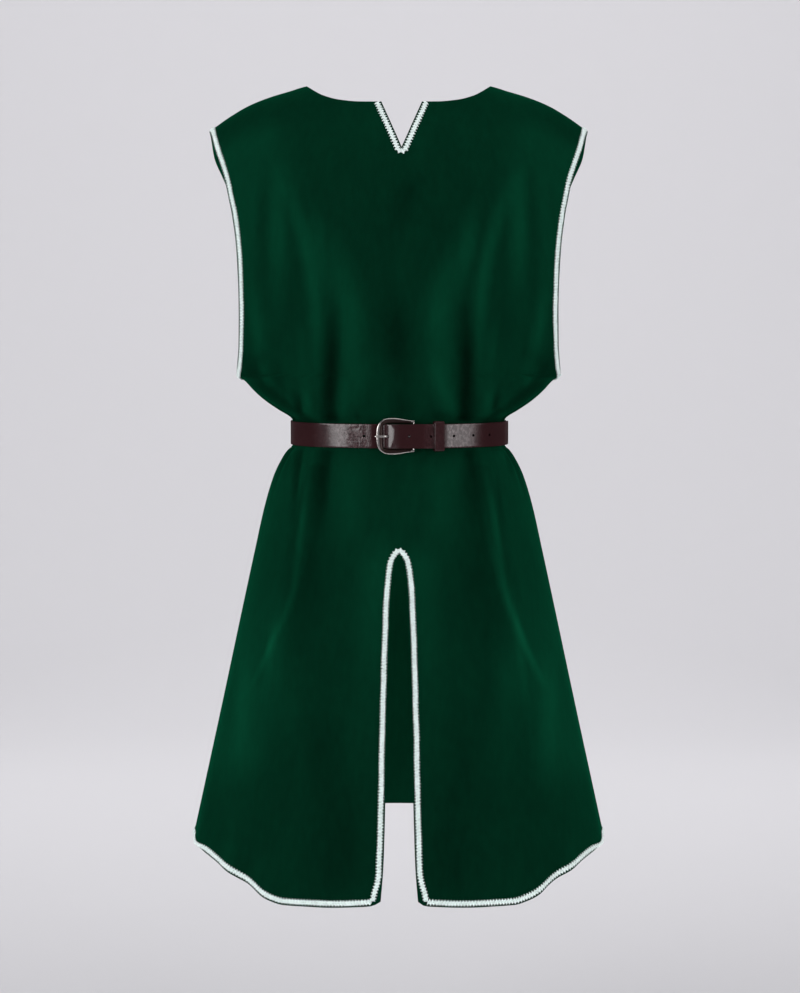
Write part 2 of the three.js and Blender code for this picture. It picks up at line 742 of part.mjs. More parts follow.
// Braid round one armhole: over the shoulder, down the front edge, round the end of the armhole
// at the side seam, and up the back edge
function armholeBraid(front, back, hand) {
  const edgeStations = (panel) => {
    const { ids, lastColumn, cornerRow } = panel;
    const stations = [];
    for (let row = 1; row <= cornerRow; row += 1) {
      stations.push(braidStation(panel, ids[hand][row][lastColumn], ids[hand][row][lastColumn - 1]));
    }
    stations.push(
      braidStation(panel, ids[hand][cornerRow][lastColumn], ids[hand][cornerRow + 1][lastColumn - 1]),
    );
    return stations;
  };
  const shared = (row, nextRow, columnStep) => {
    const at = (panel) => {
      const grid = panel.ids[hand];
      const edge = grid[row(panel)][panel.lastColumn];
      const toward = grid[nextRow(panel)][panel.lastColumn - columnStep];
      return braidStation(panel, edge, toward);
    };
    const other = at(back);
    return at(front).map((corner, i) => corner.clone().lerp(other[i], 0.5));
  };
  const tip = shared(() => 0, () => 0, 1);
  const bottom = shared((panel) => panel.cornerRow, (panel) => panel.cornerRow + 1, 0);
  return stripGeometry([tip, ...edgeStations(front), bottom, ...edgeStations(back).reverse()], true);
}

// The belt lies round the waist section. A place on it is a distance along that section from the
// centre front, positive to the viewer's right, and a distance out from the cloth.
const beltSteps = 720;
const beltLine = [];
for (let step = 0; step <= beltSteps; step += 1) {
  const angle = (360 * step) / beltSteps;
  const facing = Math.cos(radians(angle)) >= 0 ? "front" : "back";
  const square = sectionAt(beltMiddle, "square");
  const sine = Math.sin(radians(angle));
  const cosine = Math.cos(radians(angle));
  const across = Math.sign(sine) * sectionAt(beltMiddle, "side") * Math.abs(sine) ** (2 / square);
  const depth = -Math.sign(cosine) * sectionAt(beltMiddle, facing) * Math.abs(cosine) ** (2 / square);
  const before = beltLine[step - 1];
  const along = before ? before.along + Math.hypot(across - before.across, depth - before.depth) : 0;
  beltLine.push({ across, depth, along });
}
const beltLength = beltLine[beltSteps].along;

function beltPlace(along, out) {
  const wrapped = ((along % beltLength) + beltLength) % beltLength;
  let i = 0;
  while (i < beltSteps - 1 && beltLine[i + 1].along < wrapped) i += 1;
  const a = beltLine[i];
  const b = beltLine[i + 1];
  const t = (wrapped - a.along) / (b.along - a.along);
  const ahead = beltLine[(i + 4) % beltSteps];
  const behind = beltLine[(i - 3 + beltSteps) % beltSteps];
  const length = Math.hypot(ahead.across - behind.across, ahead.depth - behind.depth);
  return new THREE.Vector2(
    THREE.MathUtils.lerp(a.across, b.across, t) + (out * (ahead.depth - behind.depth)) / length,
    THREE.MathUtils.lerp(a.depth, b.depth, t) - (out * (ahead.across - behind.across)) / length,
  );
}

// Middle line of the strap: the folded end in front of the bar, round the bar, under the overlap,
// once round the waist, under the buckle's toe, over the fold and through the keeper to the tip.
// shrink narrows the strap towards its tip.
function strapStations() {
  const under = strapClearance + strapThickness / 2;
  const raised = keeperOut + keeperLeather + 2 * seamGap + strapThickness / 2;
  const stations = [{ along: foldedEndAlong, out: barOut + foldRadius, shrink: 0 }];
  const foldSteps = 6;
  for (let step = 0; step <= foldSteps; step += 1) {
    const turn = (Math.PI * step) / foldSteps;
    stations.push({
      along: barAlong - foldRadius * Math.sin(turn),
      out: barOut + foldRadius * Math.cos(turn),
      shrink: 0,
    });
  }
  const comingDown = (underKeeperTo + backOnClothAlong) / 2;
  stations.push(
    { along: underKeeperFrom, out: raised, shrink: 0 },
    { along: underKeeperTo, out: raised, shrink: 0 },
    { along: comingDown, out: (raised + under) / 2, shrink: 0 },
    { along: backOnClothAlong, out: under, shrink: 0 },
  );
  const roundSteps = 56;
  for (let step = 1; step <= roundSteps; step += 1) {
    const share = step / roundSteps;
    const along = THREE.MathUtils.lerp(backOnClothAlong, beltLength - overlapBefore, share);
    stations.push({ along, out: under, shrink: 0 });
  }
  const overlap = strapOverlap.map(({ along, out }) => ({ along: beltLength + along, out, shrink: 0 }));
  const end = strapHoles[strapHoles.length - 1].along + strapTipBeyondLastHole;
  const tip = strapTip.map(({ before, narrowed }) => ({
    along: beltLength + end - before,
    out: overlapOut,
    shrink: narrowed * tipNarrowing,
  }));
  const flatFrom = strapOverlap[strapOverlap.length - 1].along;
  const flatTo = end - strapTip[0].before;
  const flatSteps = 6;
  const flat = [];
  for (let step = 1; step < flatSteps; step += 1) {
    const along = beltLength + THREE.MathUtils.lerp(flatFrom, flatTo, step / flatSteps);
    flat.push({ along, out: overlapOut, shrink: 0 });
  }
  return [...stations, ...overlap, ...flat, ...tip];
}

function strapBody() {
  const line = strapStations();
  const middle = line.map(({ along, out }) => beltPlace(along, out));
  const stations = line.map(({ shrink }, i) => {
    const before = middle[Math.max(0, i - 1)];
    const after = middle[Math.min(line.length - 1, i + 1)];
    const run = new THREE.Vector2().subVectors(after, before).normalize();
    const side = new THREE.Vector2(run.y, -run.x).multiplyScalar(strapThickness / 2);
    const half = strapWidth / 2 - shrink;
    const corner = (sign, height) => {
      const across = middle[i].clone().addScaledVector(side, sign);
      return new THREE.Vector3(across.x, across.y, beltMiddle + height * half);
    };
    return [corner(-1, -1), corner(1, -1), corner(1, 1), corner(-1, 1)];
  });
  return stripGeometry(stations);
}

function toManifold(geometry) {
  const plain = geometry.clone();
  plain.deleteAttribute("normal");
  plain.deleteAttribute("uv");
  const merged = mergeVertices(plain, 1e-4);
  return new wasm.Manifold(
    new wasm.Mesh({
      numProp: 3,
      vertProperties: new Float32Array(merged.getAttribute("position").array),
      triVerts: new Uint32Array(merged.getIndex().array),
    }),
  );
}

function fromManifold(solid) {
  const mesh = solid.getMesh();
  const geometry = new THREE.BufferGeometry();
  geometry.setAttribute("position", new THREE.BufferAttribute(new Float32Array(mesh.vertProperties), 3));
  geometry.setIndex(new THREE.BufferAttribute(new Uint32Array(mesh.triVerts), 1));
  return geometry;
}

// Cuts the strap with a tool that stands on its face at a place along the belt
function cutStrap(solid, tool, along, out) {
  const centre = beltPlace(along, out);
  const ahead = beltPlace(along + 1, out);
  tool.rotateZ(Math.atan2(ahead.y - centre.y, ahead.x - centre.x));
  tool.translate(centre.x, centre.y, beltMiddle);
  return solid.subtract(toManifold(tool));
}

// The strap with its punched holes, the prong's hole, worn long, and the slot for the prong in
// the folded end
function beltStrap() {
  const cutDepth = 2 * strapThickness;
  const holeSides = 10;
  let solid = toManifold(strapBody());
  for (const { along, out } of strapHoles) {
    const round = new THREE.CylinderGeometry(holeDiameter / 2, holeDiameter / 2, cutDepth, holeSides);
    solid = cutStrap(solid, round, along, out);
  }
  const hole = new THREE.BoxGeometry(prongHoleLength, cutDepth, slotHeight);
  solid = cutStrap(solid, hole, prongHoleStation, prongHoleOut);
  const slot = new THREE.BoxGeometry(foldSlotLength, cutDepth, slotHeight + 1);
  solid = cutStrap(solid, slot, barAlong - 0.5, barOut + foldRadius);
  return fromManifold(solid);
}

// Leather loop round the strap and the overlap
function beltKeeper() {
  const inner = keeperOut;
  const outer = keeperReach;
  const half = keeperHeight / 2;
  const section = new THREE.Shape([
    new THREE.Vector2(inner, -half),
    new THREE.Vector2(outer, -half),
    new THREE.Vector2(outer, half),
    new THREE.Vector2(inner, half),
  ]);
  section.holes.push(
    new THREE.Path([
      new THREE.Vector2(inner + keeperLeather, -half + keeperLeather),
      new THREE.Vector2(inner + keeperLeather, half - keeperLeather),
      new THREE.Vector2(outer - keeperLeather, half - keeperLeather),
      new THREE.Vector2(outer - keeperLeather, -half + keeperLeather),
    ]),
  );
  const width = keeperEnd - keeperStart;
  const geometry = new THREE.ExtrudeGeometry(section, { depth: width, bevelEnabled: false, steps: 1 });
  const start = beltPlace(keeperStart, 0);
  const end = beltPlace(keeperEnd, 0);
  const along = new THREE.Vector3(end.x - start.x, end.y - start.y, 0).normalize();
  const out = new THREE.Vector3(along.y, -along.x, 0);
  const place = new THREE.Matrix4().makeBasis(out, new THREE.Vector3(0, 0, -1), along);
  place.setPosition(start.x, start.y, beltMiddle);
  return geometry.applyMatrix4(place);
}

// Lays a flat shape, drawn in distance along and height from the bar, from the bar to the toe
function layOnBelt(geometry) {
  const heel = beltPlace(barAlong, barOut);
  const toe = beltPlace(barAlong - frameLength + toeRestWidth, toeOut);
  geometry.rotateX(Math.PI / 2);
  geometry.translate(0, barDiameter / 2, 0);
  geometry.rotateZ(Math.atan2(heel.y - toe.y, heel.x - toe.x));
  return geometry.translate(heel.x, heel.y, beltMiddle);
}

// D-shaped frame: a rounded toe on the viewer's left, two arms and a straight heel bar. bend is
// the power of the cosine and sine that squares the toe's round.
function buckleFrame() {
  const half = frameHeight / 2;
  const left = -frameLength + barDiameter / 2;
  const right = barDiameter / 2;
  const outline = ({ inset, toeInset, heelInset, heelLess, roundShare, bend }) => {
    const high = half - inset;
    const round = high * roundShare;
    const path = [];
    const arcSteps = 7;
    for (const hand of [-1, 1]) {
      path.push(new THREE.Vector2(right - heelInset, hand * (high - heelLess)));
    }
    for (let step = 0; step <= 2 * arcSteps; step += 1) {
      const turn = Math.PI / 2 + (Math.PI * step) / (2 * arcSteps);
      const reach = Math.abs(Math.cos(turn)) ** bend * round;
      const rise = Math.sign(Math.sin(turn)) * Math.abs(Math.sin(turn)) ** bend * high;
      path.push(new THREE.Vector2(left + toeInset + round - reach, rise));
    }
    return path;
  };
  const outer = {
    inset: 0,
    toeInset: 0,
    heelInset: 0,
    heelLess: heelNarrowing,
    roundShare: 0.95,
    bend: 0.7,
  };
  const inner = {
    inset: armWidth,
    toeInset: toeBandWidth,
    heelInset: barDiameter,
    heelLess: 0,
    roundShare: 0.36,
    bend: 0.4,
  };
  const shape = new THREE.Shape(outline(outer));
  shape.holes.push(new THREE.Path(outline(inner).reverse()));
  const options = { depth: barDiameter, bevelEnabled: false, steps: 1 };
  return layOnBelt(new THREE.ExtrudeGeometry(shape, options));
}

// Prong: its foot lies in the slot in front of the bar, and it runs under the strap, up through
// the hole and on to the toe bar's face
function buckleProng() {
  const low = prongSide.map((row) => beltPlace(row.along, row.low));
  const high = prongSide.map((row) => beltPlace(row.along, row.high));
  const shape = new THREE.Shape([...low, ...high.reverse()]);
  const options = { depth: prongWidth, bevelEnabled: false, steps: 1 };
  const geometry = new THREE.ExtrudeGeometry(shape, options);
  return geometry.translate(0, 0, beltMiddle - prongWidth / 2);
}

const velvet = new THREE.MeshStandardMaterial({ color: 0x07331f, roughness: 0.85, metalness: 0 });
const braid = new THREE.MeshStandardMaterial({ color: 0xd3dfdc, roughness: 0.6, metalness: 0 });
const leather = new THREE.MeshStandardMaterial({ color: 0x2e1a1e, roughness: 0.3, metalness: 0 });
const metal = new THREE.MeshStandardMaterial({ color: 0xc9c7c4, roughness: 0.25, metalness: 1 });

const front = makePanel("front");
const back = makePanel("back");
const pieces = [
  ["front_panel", wallGeometry(front), velvet],
  ["back_panel", wallGeometry(back), velvet],
  ["neck_braid", neckBraid(front), braid],
  ["armhole_braid_left", armholeBraid(front, back, -1), braid],
  ["armhole_braid_right", armholeBraid(front, back, 1), braid],
  ["slit_braid", slitBraid(front), braid],
  ["hem_braid_front_left", frontHemBraid(front, -1), braid],
  ["hem_braid_front_right", frontHemBraid(front, 1), braid],
  ["hem_braid_back", backHemBraid(back), braid],
  ["belt_strap", beltStrap(), leather],
  ["belt_keeper", beltKeeper(), leather],
  ["buckle_frame", buckleFrame(), metal],
  ["buckle_prong", buckleProng(), metal],
];

// The places above have the neck points at the cloth's outer face, so all is raised by the wall
const tunic = new THREE.Group();
tunic.position.z = clothWall;
for (const [name, geometry, material] of pieces) {
  const mesh = new THREE.Mesh(geometry, material);
  mesh.name = name;
  tunic.add(mesh);
}

export default tunic;
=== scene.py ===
"""Sleeveless medieval tunic dress with its own belt, filled out as it is when worn.

The velvet panels with the tapes in their seams, the gimp braid along their edges, the leather
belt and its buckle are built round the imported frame. The file is laid out as an add-on with one
operator for each group of pieces, and run as a script it builds them all. The frame is in metres,
+X to the viewer's right, +Y to the back and +Z up, with its origin midway between the neck points.
Lengths in the tables are in millimetres.
"""

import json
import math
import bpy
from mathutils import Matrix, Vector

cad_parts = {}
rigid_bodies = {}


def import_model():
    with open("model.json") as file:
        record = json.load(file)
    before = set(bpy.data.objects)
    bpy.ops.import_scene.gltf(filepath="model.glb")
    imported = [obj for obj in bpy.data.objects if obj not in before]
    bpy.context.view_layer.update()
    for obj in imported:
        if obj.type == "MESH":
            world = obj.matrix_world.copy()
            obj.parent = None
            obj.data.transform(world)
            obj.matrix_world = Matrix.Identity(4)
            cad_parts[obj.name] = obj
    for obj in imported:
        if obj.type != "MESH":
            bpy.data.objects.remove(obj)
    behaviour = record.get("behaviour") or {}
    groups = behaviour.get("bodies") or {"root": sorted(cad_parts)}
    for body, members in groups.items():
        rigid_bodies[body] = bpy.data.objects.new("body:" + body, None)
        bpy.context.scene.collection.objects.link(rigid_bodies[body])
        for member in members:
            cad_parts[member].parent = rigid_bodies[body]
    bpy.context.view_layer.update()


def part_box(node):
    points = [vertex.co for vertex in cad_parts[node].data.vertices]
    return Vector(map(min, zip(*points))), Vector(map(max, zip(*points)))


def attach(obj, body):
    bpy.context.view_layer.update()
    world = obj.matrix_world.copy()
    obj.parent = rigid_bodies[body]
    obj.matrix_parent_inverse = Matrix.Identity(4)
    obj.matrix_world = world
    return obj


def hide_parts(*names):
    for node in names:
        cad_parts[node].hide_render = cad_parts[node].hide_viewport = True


bl_info = {
    "name": "Medieval tunic dress",
    "version": (1, 0, 0),
    "blender": (4, 5, 0),
    "location": "3D View > Sidebar > Tunic",
    "description": "Velvet tunic with gimp braid, a leather belt and its buckle",
    "category": "Object",
}

from collections import namedtuple
from functools import lru_cache

import bpy
import numpy as np
from mathutils import Vector, noise
from mathutils.bvhtree import BVHTree

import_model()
BODY = "root"

MM = 0.001
FACINGS = ("front", "back")
# Halves of the garment, on the viewer's right and left
HANDS = (1, -1)
# The tables have the neck points' outer face at height 0
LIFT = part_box("front_panel")[1].z

# Side seams: each panel's edge dips toward the seam, and a tape lies behind the last columns of
# both panels
SEAM_GAP = 0.3 * MM
SEAM_DIP = 0.7 * MM
SEAM_REACH = 4 * MM
TAPE_COLUMNS = 4
TAPE_GAP = 0.12 * MM
TAPE_WALL = 0.4 * MM
TAPE_NAP = 0.6

# Heights that the cut is worked out from
CHEST_LEVEL = -300 * MM
YOKE_LEVEL = -130 * MM
ARMHOLE_END_LEVEL = -382 * MM
BELT_TOP = -441 * MM
BELT_BOTTOM = -475 * MM
HEM_BLEND_LEVEL = -930 * MM

# Front notch and slit
NOTCH_APEX_HEIGHT = -85.3 * MM
NOTCH_TOP_HEIGHT = -24.9 * MM
NOTCH_HALF_WIDTH = 26 * MM
NOTCH_CENTRE = 4 * MM
SLIT_APEX_LEVEL = -611 * MM
SLIT_CENTRE = 1 * MM

# Neck opening
NECK_HALF_WIDTH = 122 * MM
BACK_NECK_DROP = 78 * MM
BACK_NECK_ROUNDNESS = 2.2

# Braid: three strands over a core, with so many segments to one turn of the plait
STRANDS = 3
TURN_SEGMENTS = 20
STRAND_SIDES = 8
STRAND_FLATNESS = 0.62
CORE_FLATNESS = 0.3
SCALLOP_POINT = 1.25
TOOTH_POINT = 0.7
TOOTH_STAGGER = 2.4

# Corners of the braid: its directions swing by way of the line ahead where the cosine between
# them is under the first limit, and straight through it under the second
CORNER_STEPS = 12
SHARP_CORNER = 0.6
REVERSED_CORNER = -0.9
CORNER_CUT = 0.35

# Feet of the slit's braid, which swing away from the edge into the hem's braid
SLIT_FOOT = 4.5 * MM
FOOT_RUN = 34 * MM

BELT_MIDDLE = (BELT_TOP + BELT_BOTTOM) / 2
BELT_HEIGHT = BELT_MIDDLE + LIFT


def table(names, *rows, plain=()):
    """Named columns of a table with its lengths in millimetres, as arrays in metres. The columns
    named in plain have no unit."""
    values = np.array(rows, float).T
    return {
        name: column if name in plain else column * MM
        for name, column in zip(names.split(), values)
    }


def rows_of(columns):
    """The rows of a table, one at a time, as named values."""
    Row = namedtuple("Row", columns)
    return [Row(*values) for values in zip(*columns.values())]


# Level sections of the body: half width at the side seam, depths at the centre and the
# superellipse exponent
SECTIONS = table(
    "level side front back square",
    (0, 268, 117, 108, 2.4),
    (-43, 263, 117, 108, 2.4),
    (-83, 258, 117, 108, 2.4),
    (-130, 252, 117, 108, 2.4),
    (-206, 247, 117, 108, 2.4),
    (-300, 243, 117, 108, 2.4),
    (-340, 236, 116, 107, 2.4),
    (-361, 228, 115, 106, 2.4),
    (-374, 220, 114.4, 105.4, 2.4),
    (-382, 215.5, 114, 105, 2.4),
    (-389, 205.6, 113.4, 104.4, 2.38),
    (-402, 193.6, 112, 103, 2.35),
    (-415, 179, 110.5, 101.5, 2.32),
    (-429, 158.5, 107.4, 98.4, 2.3),
    (-436.5, 146, 105.4, 96.4, 2.3),
    (-441, 142, 105, 96, 2.3),
    (-475, 142, 105, 96, 2.3),
    (-482, 149, 105.9, 97.6, 2.28),
    (-496, 158, 110, 103, 2.24),
    (-516, 167.4, 113, 108, 2.2),
    (-556, 179.6, 118.5, 116, 2.16),
    (-617, 193.4, 126, 126, 2.12),
    (-699, 211.4, 135, 135, 2.1),
    (-821, 237.8, 147, 146, 2.1),
    (-945, 265.2, 158, 157, 2.1),
    (-1066, 292, 168, 167, 2.1),
    plain=("square",),
)

# Top of the shoulders across the body
SHOULDER_RIDGE = table(
    "across height",
    (0, 12),
    (60, 9.5),
    (122, 0),
    (144, -6.5),
    (170.4, -14.4),
    (197, -24.9),
    (223.6, -40),
    (250.9, -59),
    (275, -76),
)

# Half width of the cloth at the armhole edges
ARMHOLE_EDGES = table(
    "level front back",
    (0, 250.9, 250.9),
    (-43, 241, 247),
    (-83, 231, 236.5),
    (-107, 225.3, 229.5),
    (-130, 221.2, 224),
    (-153, 217.2, 220),
    (-206, 211.6, 214.4),
    (-293, 208.2, 211),
    (-340, 209.4, 211.5),
    (-361, 211.6, 212.9),
    (-376, 214.3, 214.8),
    (-382, 215.5, 215.5),
)

# Top edge of the front panel from the centre to the neck point
FRONT_NECKLINE = table(
    "across height",
    (0, -24.9),
    (50, -24.5),
    (78, -21.6),
    (99, -15.2),
    (111, -8.2),
    (122, 0),
)

# Half width of the slit, by the distance below its top
SLIT_OPENING = table(
    "below half",
    (0, 0),
    (4, 3.2),
    (12, 6.2),
    (31, 8.8),
    (60, 11),
    (110, 13),
    (225, 16.2),
    (323, 18.2),
    (400, 20.6),
    (450, 24.5),
)

# Hem heights across the body
HEMS = {
    "front": table(
        "across height",
        (0, -1055),
        (25, -1055.5),
        (30, -1059.5),
        (38, -1061.7),
        (110, -1065),
        (150, -1065),
        (172, -1060),
        (195, -1047),
        (220, -1033),
        (247, -1018.5),
        (265, -1011),
        (277, -1004),
        (292, -1003),
    ),
    "back": table(
        "across height",
        (0, -998),
        (200, -998),
        (277, -1004),
        (292, -1004),
    ),
}

# Largest folds, as the solids have them: strongest at start, faded out at end, mirrored. at and
# away are their places at start and end, and lean moves and scales the one on the viewer's left.
# The last column is painted light on the pile at their crest where positive, and painted shade in
# their valley where negative.
FOLD_COLUMNS = "start end at away depth width lean nap"
FOLDS = {
    "front": table(
        FOLD_COLUMNS,
        (-437, -262, 87, 84, -9, 19, 1.02, -0.22),
        (-424, -262, 60, 57, 2.5, 18, 0.97, 0.03),
        (-425, -330, 117, 128, 3, 13, 1, 0.05),
        (-389, -335, 165, 186, 3.5, 14, 1, 0.04),
        (-480, -665, 94, 124, -8, 17, 1, -0.13),
        (-500, -790, 112, 182, 5, 19, 1, -0.05),
        (-481, -545, 129, 136, -5, 11, 1.02, -0.22),
        (-1063, -700, 205, 176, -5, 26, 0.98, 0),
        plain=("lean", "nap"),
    ),
    "back": table(
        FOLD_COLUMNS,
        (-437, -270, 80, 86, -9, 19, 1.04, -0.28),
        (-434, -330, 44, 40, -4, 17, 0.9, -0.12),
        (-428, -330, 113, 126, 3, 14, 1, 0.06),
        (-480, -690, 84, 112, -8, 18, 1.03, -0.14),
        (-500, -830, 106, 178, 5, 20, 0.98, 0.05),
        (-482, -570, 48, 54, -4, 17, 1.05, -0.1),
        (-1000, -700, 200, 170, -6, 27, 1, -0.03),
        plain=("lean", "nap"),
    ),
    "side": table(
        FOLD_COLUMNS,
        (-437, -398, -32, -40, -5, 12, 1, -0.1),
        (-437, -396, 2, 4, -5, 12, 1, -0.1),
        (-437, -398, 35, 44, -5, 12, 1, -0.1),
        (-480, -560, -28, -44, -5, 12, 1, -0.1),
        (-480, -590, 6, 10, -5, 12, 1, -0.1),
        (-480, -560, 38, 52, -5, 12, 1, -0.1),
        (-1004, -640, -52, -30, 5, 26, 1, 0.04),
        (-1004, -640, 56, 34, 5, 26, 1, 0.04),
        plain=("lean", "nap"),
    ),
}
FOLD_START = 9 * MM
FOLD_PRESS_UNDER_BELT = 0.25
PRESS_FADE = 5 * MM
# The front's and back's folds fade where the cloth turns to the side, and the side's set in, by
# degrees from the centre. The creases fade there too, and toward the top of the shoulders.
SIDE_FOLDS_FROM = 50
SIDE_FOLDS_RUN = 22
SIDE_FOLDS_SHARE = 0.8
CREASES_TO = 64
CREASES_RUN = 20
CREASES_FROM_SHOULDER = 60 * MM
